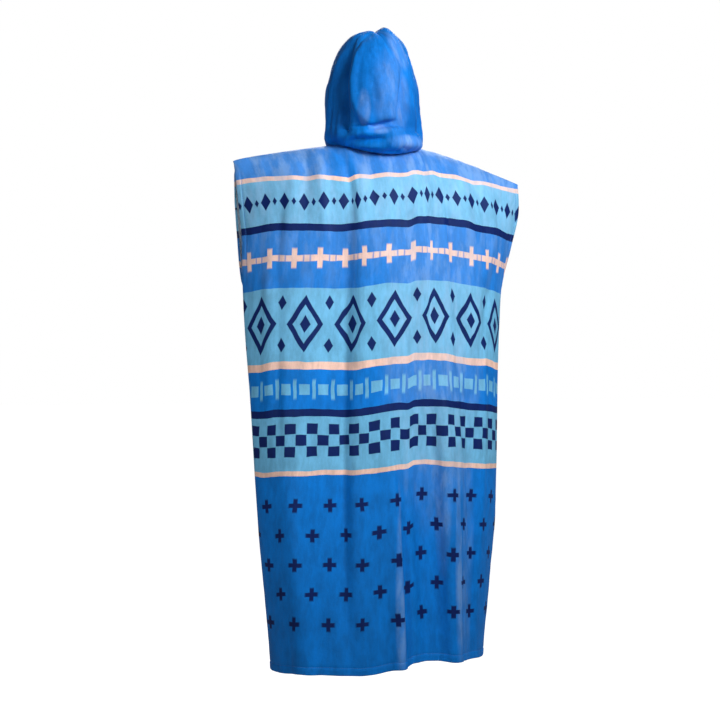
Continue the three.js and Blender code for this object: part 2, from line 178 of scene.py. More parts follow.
# The largest folds of each panel, as in the part's solids
LARGE_FOLDS = {
    "back": columns(
        "top hem start full end high wide steep",
        (-0.78, -0.80, 0.15, 0.52, 2, 0.010, 0.11, -0.1),
        (-0.56, -0.66, 0.42, 0.98, 2, -0.008, 0.10, 0),
        (-0.35, -0.43, 0.04, 0.24, 1.2, -0.017, 0.11, 0.38),
        (-0.40, -0.42, 0.82, 1.15, 2, -0.006, 0.12, 0),
        (-0.14, -0.16, 0.06, 0.30, 2, 0.009, 0.12, -0.2),
        (-0.08, 0.06, 0.48, 0.98, 2, 0.017, 0.08, 0.3),
        (0.14, 0.33, 0.38, 0.98, 2, -0.013, 0.10, -0.15),
        (0.30, 0.57, 0.24, 0.76, 2, 0.015, 0.085, -0.3),
        (0.42, 0.76, 0.11, 0.46, 1.3, -0.009, 0.07, 0.2),
    ),
    "front": columns(
        "top hem start full end high wide steep",
        (-0.80, -0.84, 0.30, 0.95, 2, 0.011, 0.10, 0),
        (-0.56, -0.66, 0.16, 0.88, 2, -0.012, 0.12, 0),
        (-0.36, -0.45, 0.13, 0.70, 2, 0.013, 0.10, 0.25),
        (-0.12, -0.20, 0.15, 0.80, 2, -0.011, 0.12, 0),
        (0.04, 0.06, 0.26, 0.90, 2, 0.014, 0.10, -0.2),
        (0.30, 0.30, 0.14, 0.70, 2, -0.010, 0.12, 0),
        (0.46, 0.56, 0.17, 0.90, 2, 0.014, 0.095, -0.25),
        (0.72, 0.80, 0.26, 0.95, 2, -0.009, 0.10, 0),
    ),
}

# Smaller creases in the cloth's own plane: u across from the middle, v down from the shoulder line.
# Each runs from its first point to its second, bowed sideways, high above the cloth or below it.
SMALL_CREASES = {
    "back": columns(
        "u0 v0 u1 v1 high wide bow sharp",
        (-0.122, 0.100, -0.124, 0.92, -0.0080, 0.013, 0.004, -0.35),
        (-0.084, 0.110, -0.080, 0.60, 0.0034, 0.016, -0.003, 0.0),
        (-0.152, 0.010, -0.112, 0.280, -0.0080, 0.015, -0.008, -0.2),
        (-0.186, 0.010, -0.176, 0.30, 0.0056, 0.014, 0.006, 0.1),
        (-0.214, 0.020, -0.222, 0.24, -0.0060, 0.013, 0.004, 0.0),
        (-0.246, 0.070, -0.276, 0.30, 0.0034, 0.016, 0.004, 0.0),
        (-0.276, 0.110, -0.300, 0.33, -0.0036, 0.013, 0.003, 0.0),
        (-0.050, 0.085, -0.040, 0.24, -0.0034, 0.010, 0.002, 0.0),
        (-0.012, 0.085, -0.022, 0.34, 0.0030, 0.013, -0.003, 0.0),
        (0.024, 0.080, 0.030, 0.29, -0.0030, 0.010, 0.003, 0.0),
        (0.054, 0.080, 0.074, 0.46, 0.0034, 0.014, -0.004, 0.0),
        (0.086, 0.070, 0.116, 0.35, -0.0040, 0.012, 0.003, 0.1),
        (0.112, 0.050, 0.160, 0.50, 0.0046, 0.013, -0.010, -0.3),
        (0.144, 0.110, 0.168, 0.40, -0.0085, 0.012, -0.004, -0.3),
        (0.186, 0.050, 0.232, 0.36, 0.0046, 0.015, -0.008, 0.0),
        (0.226, 0.050, 0.296, 0.27, -0.0042, 0.015, -0.006, 0.0),
        (0.272, 0.070, 0.322, 0.22, 0.0034, 0.014, -0.004, 0.0),
        (0.340, 0.150, 0.228, 0.45, 0.0040, 0.015, 0.012, 0.0),
        (0.342, 0.215, 0.252, 0.53, -0.0046, 0.012, 0.010, 0.2),
        (0.198, 0.400, 0.226, 0.90, -0.0075, 0.010, -0.006, -0.4),
        (0.158, 0.460, 0.196, 1.06, 0.0046, 0.013, -0.008, -0.3),
        (0.284, 0.440, 0.262, 0.98, 0.0046, 0.013, 0.006, 0.0),
        (0.252, 0.560, 0.236, 1.10, -0.0036, 0.011, 0.004, 0.0),
        (-0.320, 0.200, -0.298, 0.66, 0.0034, 0.016, 0.006, 0.0),
        (-0.286, 0.300, -0.272, 0.74, -0.0050, 0.015, 0.004, 0.1),
        (-0.222, 0.380, -0.214, 0.86, 0.0034, 0.020, -0.004, 0.0),
        (-0.166, 0.460, -0.160, 0.98, -0.0028, 0.016, 0.004, 0.0),
        (-0.054, 0.560, -0.050, 1.16, -0.0040, 0.016, 0.005, 0.0),
        (-0.008, 0.780, 0.012, 1.32, 0.0070, 0.011, -0.003, 0.35),
        (0.022, 0.880, 0.040, 1.34, -0.0095, 0.009, -0.003, 0.3),
        (0.070, 0.700, 0.080, 1.34, -0.0060, 0.022, 0.004, 0.0),
        (0.100, 0.660, 0.124, 1.34, -0.0066, 0.012, -0.003, -0.3),
        (0.126, 0.600, 0.160, 1.34, 0.0085, 0.017, -0.003, 0.2),
        (0.190, 0.800, 0.200, 1.34, -0.0056, 0.011, -0.003, 0.3),
        (-0.146, 0.960, -0.140, 1.34, -0.0036, 0.016, 0.004, 0.0),
        (-0.196, 0.940, -0.190, 1.34, 0.0032, 0.018, 0.003, 0.0),
        (-0.252, 0.960, -0.246, 1.34, -0.0030, 0.016, -0.003, 0.0),
    ),
    "front": columns(
        "u0 v0 u1 v1 high wide bow sharp",
        (-0.115, 0.060, -0.130, 0.78, -0.0050, 0.012, 0.006, 0.3),
        (-0.150, 0.040, -0.205, 0.36, 0.0034, 0.016, 0.005, 0.0),
        (-0.185, 0.050, -0.246, 0.33, -0.0032, 0.014, 0.004, 0.0),
        (-0.075, 0.110, -0.060, 0.46, 0.0034, 0.015, -0.005, 0.2),
        (-0.040, 0.130, -0.018, 0.40, -0.0036, 0.012, -0.004, 0.0),
        (0.008, 0.120, 0.004, 0.52, 0.0030, 0.014, 0.004, 0.0),
        (0.046, 0.120, 0.034, 0.38, -0.0032, 0.012, 0.004, 0.0),
        (0.085, 0.090, 0.092, 0.60, 0.0036, 0.014, -0.005, -0.2),
        (0.120, 0.060, 0.140, 0.86, -0.0052, 0.012, -0.006, -0.3),
        (0.165, 0.045, 0.215, 0.40, 0.0034, 0.016, -0.006, 0.0),
        (0.210, 0.060, 0.262, 0.30, -0.0030, 0.015, -0.004, 0.0),
        (-0.320, 0.170, -0.240, 0.46, 0.0034, 0.017, -0.008, 0.0),
        (0.326, 0.180, 0.246, 0.44, 0.0032, 0.017, 0.008, 0.0),
        (-0.270, 0.480, -0.262, 1.04, 0.0030, 0.018, 0.005, 0.0),
        (-0.180, 0.560, -0.170, 1.20, -0.0036, 0.016, 0.004, 0.0),
        (-0.090, 0.640, -0.078, 1.30, 0.0042, 0.012, -0.004, 0.3),
        (-0.020, 0.700, -0.024, 1.30, -0.0046, 0.012, 0.003, 0.0),
        (0.060, 0.760, 0.074, 1.30, 0.0044, 0.012, -0.003, -0.3),
        (0.150, 0.680, 0.160, 1.26, -0.0040, 0.014, 0.004, 0.0),
        (0.236, 0.560, 0.232, 1.18, 0.0034, 0.018, -0.004, 0.0),
    ),
}

# The hood ring by ring. The lowest three rings lie a few millimetres off those of the part's solids.
HOOD_RINGS = columns(
    "left right back front zBack zSide zFront end",
    (0.105, 0.099, 0.090, 0.077, -0.020, 0.008, -0.032, 84),
    (0.115, 0.104, 0.106, 0.085, -0.012, 0.015, -0.022, 75),
    (0.119, 0.105, 0.118, 0.093, 0.002, 0.024, -0.006, 66),
    (0.118, 0.103, 0.117, 0.100, 0.026, 0.038, 0.014, 59),
    (0.116, 0.102, 0.105, 0.106, 0.038, 0.050, 0.036, 54),
    (0.114, 0.101, 0.108, 0.111, 0.058, 0.068, 0.062, 50),
    (0.112, 0.098, 0.113, 0.115, 0.092, 0.098, 0.098, 47),
    (0.108, 0.097, 0.114, 0.117, 0.130, 0.136, 0.138, 46),
    (0.096, 0.091, 0.107, 0.117, 0.170, 0.176, 0.178, 48),
    (0.080, 0.081, 0.092, 0.113, 0.206, 0.215, 0.217, 53),
    (0.059, 0.068, 0.072, 0.108, 0.234, 0.248, 0.244, 61),
    (0.033, 0.040, 0.052, 0.104, 0.252, 0.268, 0.257, 73),
    (0.012, 0.016, 0.043, 0.103, 0.257, 0.271, 0.259, 80),
    (0.000, 0.000, 0.040, 0.102, 0.256, 0.267, 0.259, 84),
)
HOOD_LAST = len(HOOD_RINGS["end"]) - 1

# Beside the top seam the right half has a bump and the left a slight dip. They grow between two heights
# and fade towards the face.
CROWN = {-1: -0.004, 1: 0.010, "beside": 0.024, "wide": 0.020, "from": 0.200, "to": 0.262}
CROWN_FADE = {"start": 0.2, "over": 0.6}

# The hood's largest folds: u round from the centre seam, right side positive, and v the height
HOOD_FOLDS = columns(
    "u0 v0 u1 v1 high wide bow sharp",
    (-0.090, -0.010, -0.102, 0.250, -0.017, 0.014, 0.003, 0.35),
    (-0.140, -0.020, -0.136, 0.220, 0.007, 0.013, 0.003, 0.0),
    (0.026, 0.044, 0.052, 0.190, -0.008, 0.015, 0.008, -0.2),
    (-0.052, 0.022, 0.022, 0.052, -0.011, 0.010, 0.005, -0.3),
    (-0.088, 0.008, -0.006, 0.008, -0.010, 0.009, -0.003, 0.0),
)

# The slack pouch at the back of the head: middle, half sizes, height, how square it is, and how sharp
# its edges are on the lower left and on the upper right
POUCH = {"u": -0.020, "v": 0.146, "wide": 0.066, "tall": 0.118, "high": 0.011, "square": 2.6}
POUCH_EDGE = {"sharp": 0.84, "soft": 0.3, "change": 0.7, "slant": 0.6}

# The hood's smaller creases
HOOD_CREASES = columns(
    "u0 v0 u1 v1 high wide bow sharp",
    (-0.092, 0.010, -0.099, 0.200, -0.0070, 0.008, 0.003, 0.4),
    (-0.166, 0.000, -0.160, 0.200, -0.0034, 0.006, 0.003, 0.0),
    (-0.152, -0.020, -0.148, 0.140, 0.0040, 0.007, 0.003, 0.0),
    (-0.138, -0.020, -0.134, 0.160, -0.0050, 0.007, 0.002, 0.3),
    (-0.120, -0.030, -0.124, 0.250, -0.0060, 0.022, 0.002, 0.0),
    (-0.117, -0.015, -0.114, 0.120, 0.0030, 0.006, 0.002, 0.0),
    (-0.062, 0.070, -0.056, 0.215, -0.0034, 0.012, 0.004, 0.0),
    (-0.030, 0.058, -0.036, 0.150, -0.0034, 0.009, -0.003, 0.0),
    (0.006, 0.080, 0.022, 0.220, 0.0032, 0.015, -0.004, 0.0),
    (-0.010, 0.150, -0.020, 0.235, -0.0024, 0.010, 0.003, 0.0),
    (-0.046, 0.022, 0.020, 0.053, -0.0035, 0.0065, 0.005, -0.3),
    (0.018, 0.050, 0.046, 0.150, -0.0050, 0.009, 0.006, 0.0),
    (-0.084, 0.009, -0.010, 0.010, -0.0095, 0.008, -0.003, 0.0),
    (-0.096, 0.015, -0.036, 0.027, 0.0050, 0.007, -0.003, 0.0),
    (-0.086, 0.037, -0.046, 0.038, -0.0045, 0.010, 0.002, 0.0),
    (-0.076, 0.050, -0.082, 0.215, 0.0060, 0.017, 0.003, -0.5),
    (-0.094, -0.008, -0.090, 0.028, 0.0050, 0.006, 0.002, 0.0),
    (-0.088, -0.006, -0.004, -0.010, 0.0040, 0.005, 0.002, 0.0),
    (-0.036, 0.018, -0.004, 0.036, 0.0030, 0.009, 0.003, 0.0),
    (0.000, -0.010, 0.000, 0.030, 0.0036, 0.0036, 0.0, 0.0),
    (0.010, -0.004, 0.140, 0.006, 0.0060, 0.009, 0.003, 0.0),
    (0.010, 0.020, 0.130, 0.036, -0.0066, 0.008, 0.005, 0.0),
    (-0.062, -0.013, -0.022, -0.018, -0.0045, 0.0036, 0.001, 0.0),
    (-0.014, -0.016, 0.028, -0.012, -0.0050, 0.0036, -0.002, 0.0),
    (0.024, -0.006, 0.064, -0.014, -0.0040, 0.0036, 0.002, 0.0),
    (0.078, 0.016, 0.066, 0.110, 0.0036, 0.008, -0.003, 0.0),
    (0.102, 0.010, 0.090, 0.130, -0.0046, 0.008, -0.003, 0.0),
    (0.128, 0.010, 0.118, 0.170, 0.0040, 0.008, -0.003, 0.0),
    (0.152, 0.000, 0.146, 0.180, -0.0050, 0.009, -0.003, 0.0),
    (0.190, 0.000, 0.182, 0.200, 0.0040, 0.011, 0.003, 0.0),
    (0.060, 0.160, 0.058, 0.235, -0.0034, 0.009, 0.003, 0.0),
)


def smooth(x):
    """3x² - 2x³ for x from 0 to 1, level before and after."""
    c = np.clip(x, 0, 1)
    return c * c * (3 - 2 * c)


def mixed(a, b, share):
    """a at share 0 and b at share 1, on a straight line between."""
    return a + (b - a) * share


def between(table, name, place):
    """A column at places between its rows, on a Catmull-Rom curve through them."""
    column = table[name]
    last = len(column) - 1
    i = np.clip(np.floor(place).astype(int), 0, last - 1)
    t = place - i
    a, b, c, d = (column[np.clip(i + k, 0, last)] for k in (-1, 0, 1, 2))
    bend = 3 * b - 3 * c + d - a
    return b + 0.5 * t * (c - a + t * (2 * a - 5 * b + 4 * c - d + t * bend))


def level(name, z):
    """A column of the body's levels at heights z."""
    return between(LEVELS, name, np.interp(-z, -LEVELS["z"], np.arange(len(LEVELS["z"]))))


def half_width(z, q):
    """The left and right half widths at height z, mixed across by the share q from -1 to 1."""
    return mixed(level("left", z), level("right", z), smooth((q + 1) / 2))


NECK_Q = NECK_HALF / float(half_width(np.array(0.0), np.array(0.0)))


def shoulder_height(q):
    """Level within the neck, then falling to each tip as the distance to a power."""
    out = np.maximum(0, (np.abs(q) - NECK_Q) / (1 - NECK_Q))
    return NECK_RISE - mixed(LEFT_TIP_DROP, RIGHT_TIP_DROP, smooth((q + 1) / 2)) * out**SHOULDER_BEND


def hem_height(q):
    """The hem's height: its line's rises added up from left to right, and two corners that hang lower."""
    z = np.full_like(q, HEM_Z)
    for high, start, over in zip(*HEM_LINE.values()):
        z += high * smooth((q - start) / over)
    start = HEM_CORNER["start"]
    lower = np.where(q < 0, HEM_CORNER["left"], HEM_CORNER["right"])
    return z + lower * smooth((np.abs(q) - start) / (1 - start))


def section_depth(side, z, q):
    """A superellipse's depth: depth · (1 - |q|^square)^blunt."""
    inside = np.maximum(0, 1 - np.abs(q) ** level("square", z))
    return level(side, z) * inside ** level("blunt", z)


def hang(side, q, s):
    """Height and roundness at a length s of cloth: a quarter ellipse over the shoulder, walked in
    equal steps, and straight down after it."""
    rounding = ROUNDING[side]
    deep = section_depth(side, np.full_like(q, -rounding), q)
    top = shoulder_height(q)
    walked = np.zeros_like(s)
    angle = np.full_like(s, np.pi / 2)
    found = np.zeros(s.shape, bool)
    for step in range(PROFILE_STEPS):
        a, b = (np.pi / 2 * (step + k) / PROFILE_STEPS for k in (0, 1))
        length = np.hypot(deep * (math.sin(b) - math.sin(a)), rounding * (math.cos(a) - math.cos(b)))
        here = ~found & (walked + length >= s)
        angle = np.where(here, mixed(a, b, (s - walked) / length), angle)
        found |= here
        walked = np.where(found, walked, walked + length)
    curved = top - rounding * (1 - np.cos(angle))
    z = np.where(found, curved, top - rounding - (s - walked))
    return z, np.where(found, np.sin(angle), 1.0)


def cloth_length(side, q):
    """The cloth's length from the shoulder line to the hem."""
    past = np.full_like(q, FAR_DOWN)
    return past - (hem_height(q) - hang(side, q, past)[0])


def armhole_share(z):
    """0 at the slit's top and 1 at its foot."""
    return (z - ARMHOLE_TOP) / (ARMHOLE_FOOT - ARMHOLE_TOP)


def armhole_open(side, q, z):
    """How far the slit's edge stands off: sine^fullness down the slit, fading inwards as |q|^reach."""
    share = np.clip(armhole_share(z), 0, 1)
    return ARMHOLE_OPEN[side] * np.sin(np.pi * share) ** ARMHOLE_FULLNESS * np.abs(q) ** ARMHOLE_REACH


def panel_plain(side, q, s):
    """The worn panel without folds."""
    z, turn = hang(side, q, s)
    out = section_depth(side, z, q) * turn + armhole_open(side, q, z) - SEAM_LAP
    wander = SEAM_WANDER * np.sin(2 * np.pi * SEAM_WAVES * z / HEM_Z)
    wander = wander * smooth((ARMHOLE_FOOT - z) / WANDER_GROWN)
    y = FACING[side] * out + wander * np.abs(q) ** 4
    return np.stack([q * half_width(z, q), y, z], axis=-1)


def unit(v):
    """Vectors of length 1."""
    return v / np.maximum(np.linalg.norm(v, axis=-1, keepdims=True), 1e-12)


def outward(surface, a, b, step_a, step_b, facing):
    """The outward unit normal: the cross product of the surface's two slopes."""
    across = surface(a + step_a, b) - surface(a - step_a, b)
    down = surface(a, b + step_b) - surface(a, b - step_b)
    return unit(np.cross(across, down) * facing)


def large_folds(side, q, z):
    """Bell-shaped ridges and troughs that grow with depth and wander sideways to the hem."""
    folds = LARGE_FOLDS[side]
    total = np.zeros_like(q)
    for top, hem, start, full, end, high, wide, steep in zip(*folds.values()):
        grown = smooth((-z - start) / (full - start)) * (1 - smooth((-z - end + FOLD_END) / FOLD_END))
        centre = mixed(top, hem, np.clip((-z - start) / (-HEM_Z - start), 0, 1))
        off = q - centre
        total += high * grown * np.exp(-((off / (wide * (1 - steep * np.sign(off)))) ** 2))
    return total * (1 - np.abs(q) ** 10)


def panel_folded(side, angle, s):
    """The panel with its large folds pushed out along its normals, and its normals."""
    facing = FACING[side]

    def plain(a, b):
        return panel_plain(side, np.sin(a), np.maximum(b, 0))

    def folded(a, b):
        at = plain(a, b)
        n = outward(plain, a, np.maximum(b, PLAIN_STEP), NUDGE, PLAIN_STEP, facing)
        return at + n * large_folds(side, np.sin(a), at[..., 2])[..., None]

    limit = np.pi / 2 - 2 * NUDGE
    inner = np.clip(angle, -limit, limit)
    n = outward(folded, inner, np.maximum(s, FOLDED_STEP), NUDGE, FOLDED_STEP, facing)
    return folded(angle, s), n


def creases(table, u, v, kink=2.0):
    """Ridges and troughs along bowed lines, fading at their two ends. Across its line a ridge is
    bell-shaped, and a trough falls off as the distance to the power of kink, 2 for a soft one."""
    total = np.zeros_like(u)
    for u0, v0, u1, v1, high, wide, bow, sharp in zip(*table.values()):
        du, dv = u1 - u0, v1 - v0
        length = math.hypot(du, dv)
        t = ((u - u0) * du + (v - v0) * dv) / length**2
        along = np.clip(t, 0, 1)
        off = ((u - u0) * dv - (v - v0) * du) / length + bow * np.sin(np.pi * along)
        reach = np.abs(off) / (wide * (1 - sharp * np.sign(off)))
        across = np.exp(-(reach ** (2.0 if high > 0 else kink)))
        total += high * np.sin(np.pi * along) ** CREASE_FULLNESS * across
    return total


def rumple(u, v, cell_u, cell_v, seed):
    """Smooth value noise from -1 to 1 on cells of the given size."""
    values = np.random.default_rng(seed).uniform(-1, 1, (NOISE_SIDE, NOISE_SIDE))
    x, y = u / cell_u + NOISE_MIDDLE[0], v / cell_v + NOISE_MIDDLE[1]
    i, j = np.floor(x).astype(int), np.floor(y).astype(int)
    tx, ty = smooth(x - i), smooth(y - j)
    corner = [[values[(i + a) % NOISE_SIDE, (j + b) % NOISE_SIDE] for b in (0, 1)] for a in (0, 1)]
    return mixed(mixed(corner[0][0], corner[0][1], ty), mixed(corner[1][0], corner[1][1], ty), tx)


def rumples(table, u, v, seed):
    """The sum of a table's rumples, each with the next seed."""
    total = np.zeros_like(u)
    for i, (high, across, along) in enumerate(zip(*table.values())):
        total += high * rumple(u, v, across, along, seed + i)
    return total


def edge_round(away):
    """How far an edge curls in: a quarter circle over the last few millimetres."""
    past = np.clip(1 - away / EDGE_ROUND, 0, 1)
    return -EDGE_ROUND * (1 - np.sqrt(1 - past**2))


def hem_relief(away, line):
    """A turned hem: raised a little between its edge and the stitch line, which sinks in."""
    raised = HEM_RAISED["high"] * smooth((line - away) / HEM_RAISED["over"])
    return raised - STITCH_SINK["deep"] * np.exp(-(((away - line) / STITCH_SINK["wide"]) ** 2))


def along_rows(points):
    """Distance along each grid row from its first column."""
    steps = np.linalg.norm(np.diff(points, axis=1), axis=-1)
    return np.concatenate([np.zeros((len(points), 1)), np.cumsum(steps, axis=1)], axis=1)


def neck_start(side, q):
    """Where the panel starts: on the shoulder seam, and on an elliptic scoop within the neck."""
    return NECK_SCOOP[side] * np.sqrt(np.maximum(0, 1 - (q / NECK_Q) ** 2))


def make_grid(name, points, uv, turned, thin_share):
    """A smooth quad mesh from a grid, with its cloth coordinates, given a wall inwards from it.
    thin_share is each point's share of the wall's greatest thickness."""
    rows, cols = points.shape[:2]
    ids = np.arange(rows * cols).reshape(rows, cols)
    a, b, c, d = ids[:-1, :-1], ids[1:, :-1], ids[1:, 1:], ids[:-1, 1:]
    quads = np.stack([a, d, c, b] if turned else [a, b, c, d], axis=-1).reshape(-1, 4)
    mesh = bpy.data.meshes.new(name)
    mesh.from_pydata(points.reshape(-1, 3).tolist(), [], quads.tolist())
    layer = mesh.uv_layers.new(name="cloth")
    layer.data.foreach_set("uv", uv.reshape(-1, 2)[quads.reshape(-1)].reshape(-1))
    mesh.polygons.foreach_set("use_smooth", np.ones(len(quads), bool))
    piece = bpy.data.objects.new(name, mesh)
    bpy.context.scene.collection.objects.link(piece)
    group = piece.vertex_groups.new(name="wall")
    shares = np.round(thin_share.reshape(-1), 2)
    for share in np.unique(shares):
        group.add(np.nonzero(shares == share)[0].tolist(), float(share), "REPLACE")
    wall = piece.modifiers.new("wall", "SOLIDIFY")
    wall.thickness = HEM_THICKNESS
    wall.offset = -1
    wall.vertex_group = "wall"
    wall.use_even_offset = False
    wall.use_quality_normals = True
    wall.material_offset = 1
    wall.material_offset_rim = 0
    return piece


def mark_sharp(mesh, column_count, row_count):
    """Marks the edges down the grid's first column and along its last row as sharp, so that the rim
    there doesn't bend the shading beside it."""
    ends = np.zeros(2 * len(mesh.edges), int)
    mesh.edges.foreach_get("vertices", ends)
    column, row = ends.reshape(-1, 2) % column_count, ends.reshape(-1, 2) // column_count
    on_seam = (column == 0).all(axis=1) | (row == row_count - 1).all(axis=1)
    mesh.attributes.new("sharp_edge", "BOOLEAN", "EDGE").data.foreach_set("value", on_seam)


def make_panel(side, column_count, row_count):
    """A panel: the worn shape, large folds, small creases, rumples, hems and seam edges."""
    angles = np.linspace(-np.pi / 2, np.pi / 2, column_count)
    q = np.sin(angles)[None, :]
    length = cloth_length(side, q)
    start = neck_start(side, q)
    share = (np.arange(row_count) / row_count)[:, None] ** ROW_CROWDING
    body = mixed(start, length - EVEN_ROWS_END, share)
    s = np.concatenate([body, length - np.array(HEM_ROWS)[:, None] * np.ones_like(q)])
    angle_grid = np.broadcast_to(angles, s.shape).copy()
    at, n = panel_folded(side, angle_grid, s)
    q = np.sin(angle_grid)
    # Over a seam the wall doesn't lean past the other panel.
    at_side = np.abs(q) > SIDE_EDGE
    on_seam = (s < TOP_EDGE) | at_side
    lean = FACING[side] * np.maximum(0, FACING[side] * n[..., 1])
    n[..., 1] = np.where(on_seam, lean, n[..., 1])
    # Down a side seam both walls go straight out, so that the seam stays shut.
    slit = armhole_share(at[..., 2])
    n[..., 1] = np.where(at_side & (slit > 1), 0, n[..., 1])
    n = unit(n)
    run = along_rows(at)
    middle = column_count // 2
    u = run - run[:, middle : middle + 1]
    from_side = np.minimum(run, run[:, -1:] - run)
    from_hem = length - s
    high = creases(SMALL_CREASES[side], u, s, TROUGH_KINK) + rumples(PANEL_RUMPLES, u, s, RUMPLE_SEED[side])
    high *= smooth(from_side / PANEL_FADE["side"])
    high *= smooth((s - start + PANEL_FADE["above"]) / PANEL_FADE["top"])
    in_slit = smooth(slit / ARMHOLE_END) * smooth((1 - slit) / ARMHOLE_END)
    high += in_slit * hem_relief(from_side, ARMHOLE_HEM)
    sunk = SEAM_SINK["deep"] * np.exp(-((from_side / SEAM_SINK["wide"]) ** 2))
    high -= (1 - in_slit) * sunk * smooth(s / SEAM_SINK["grown"])
    high += hem_relief(from_hem, HEM_STITCH)
    high += edge_round(from_hem) + edge_round(from_side) * smooth(s / EDGE_GROWN)
    points = at + n * (CLOTH + high)[..., None]
    # The shoulder seam: both panels dip to it.
    dip = SHOULDER_DIP["deep"] * np.exp(-((s / SHOULDER_DIP["wide"]) ** 2))
    points[..., 2] -= dip * (np.abs(q) > NECK_Q)
    hemmed = smooth((HEM_DEPTH - from_hem) / THICKNESS_STEP)
    slit_hemmed = in_slit * smooth((ARMHOLE_HEM + THICKNESS_STEP - from_side) / THICKNESS_STEP)
    thin_share = mixed(FIELD_THICKNESS / HEM_THICKNESS, 1.0, np.maximum(hemmed, slit_hemmed))
    uv = np.stack([u, PRINT_LENGTH - from_hem], axis=-1)
    piece = make_grid(f"poncho_{side}", points, uv, side == "front", thin_share)
    return {"piece": piece, "points": points, "from_side": from_side, "slit": slit, "n": n}


def settle(points, hand):
    """Keeps one half on its own side of the centre seam, and then leans it."""
    x = hand * np.maximum(0, hand * points[..., 0])
    lean = HOOD_LEAN * smooth(points[..., 2] / LEAN_HEIGHT)
    return np.stack([x - lean, points[..., 1], points[..., 2]], axis=-1)


def neck_seam(hand, share, outside, lift):
    """A line just outside the neck's edge, on the panels' outer faces and lifted along their normals:
    share 0 is at the nape and 1 at the throat."""
    turn = np.radians(mixed(-90, 90, share))
    made = []
    for side in ("back", "front"):
        q = hand * NECK_Q * np.cos(turn) * (1 + outside / NECK_HALF)
        s = (NECK_SCOOP[side] + outside) * np.abs(np.sin(turn))
        at, n = panel_folded(side, np.arcsin(q), s)
        made.append(at + n * lift)
    return np.where((turn < 0)[..., None], made[0], made[1])


def hood_smooth(hand, place, share):
    """The hood's inside without folds: superposed elliptic rings, sagging from side to back and side to
    front, with a bump beside the top seam; and the distance u round from the centre seam."""
    turn = np.radians(mixed(-90.0, between(HOOD_RINGS, "end", place), share))
    away = np.sin(turn)
    behind = away < 0
    z_end = np.where(behind, between(HOOD_RINGS, "zBack", place), between(HOOD_RINGS, "zFront", place))
    z = mixed(between(HOOD_RINGS, "zSide", place), z_end, away**2)
    y = away * np.where(behind, between(HOOD_RINGS, "back", place), between(HOOD_RINGS, "front", place))
    half = np.maximum(0, between(HOOD_RINGS, "left" if hand < 0 else "right", place))
    beside = half * np.cos(turn)
    grown = smooth((z - CROWN["from"]) / (CROWN["to"] - CROWN["from"]))
    grown = grown * (1 - smooth((away - CROWN_FADE["start"]) / CROWN_FADE["over"]))
    bell = np.exp(-(((beside - CROWN["beside"]) / CROWN["wide"]) ** 2)) * smooth(beside / CROWN["beside"])
    at = np.stack([hand * beside, y, z + CROWN[hand] * grown * bell], axis=-1)
    return at, hand * (turn + np.pi / 2) * HOOD_AROUND


def pouch(u, v):
    """A raised superellipse with a sharp lower left edge and a soft upper right one."""
    across, up = (u - POUCH["u"]) / POUCH["wide"], (v - POUCH["v"]) / POUCH["tall"]
    reach = (np.abs(across) ** POUCH["square"] + np.abs(up) ** POUCH["square"]) ** (1 / POUCH["square"])
    slanted = across + POUCH_EDGE["slant"] * up
    edge = mixed(POUCH_EDGE["sharp"], POUCH_EDGE["soft"], smooth(0.5 + POUCH_EDGE["change"] * slanted))
    return POUCH["high"] * (1 - smooth((reach - edge) / (1 - edge)))


def hood_folded(hand, place, share):
    """The hood with its large folds and pouch pushed out along its normals, and its normals."""

    def near(surface, a, b, steps):
        low_a, low_b = (step + margin for step, margin in zip(steps, STEP_MARGINS))
        inner_a, inner_b = np.clip(a, low_a, HOOD_LAST - low_a), np.clip(b, low_b, 1 - low_b)
        return outward(surface, inner_a, inner_b, *steps, -hand)

    def plain(a, b):
        return hood_smooth(hand, a, b)[0]

    def folded(a, b):
        at, u = hood_smooth(hand, a, b)
        fade = smooth(a / FOLDS_FADE["neck"]) * smooth((HOOD_LAST - a) / FOLDS_FADE["top"])
        fade = fade * smooth((1 - b) / FOLDS_FADE["face"])
        high = (creases(HOOD_FOLDS, u, at[..., 2]) + pouch(u, at[..., 2])) * fade
        return at + near(plain, a, b, FINE_STEPS) * high[..., None]

    # The way out is softened, so that the cloth's faces don't cross in a crease.
    n = unit(near(plain, place, share, FINE_STEPS) + near(folded, place, share, WIDE_STEPS))
    return folded(place, share), n


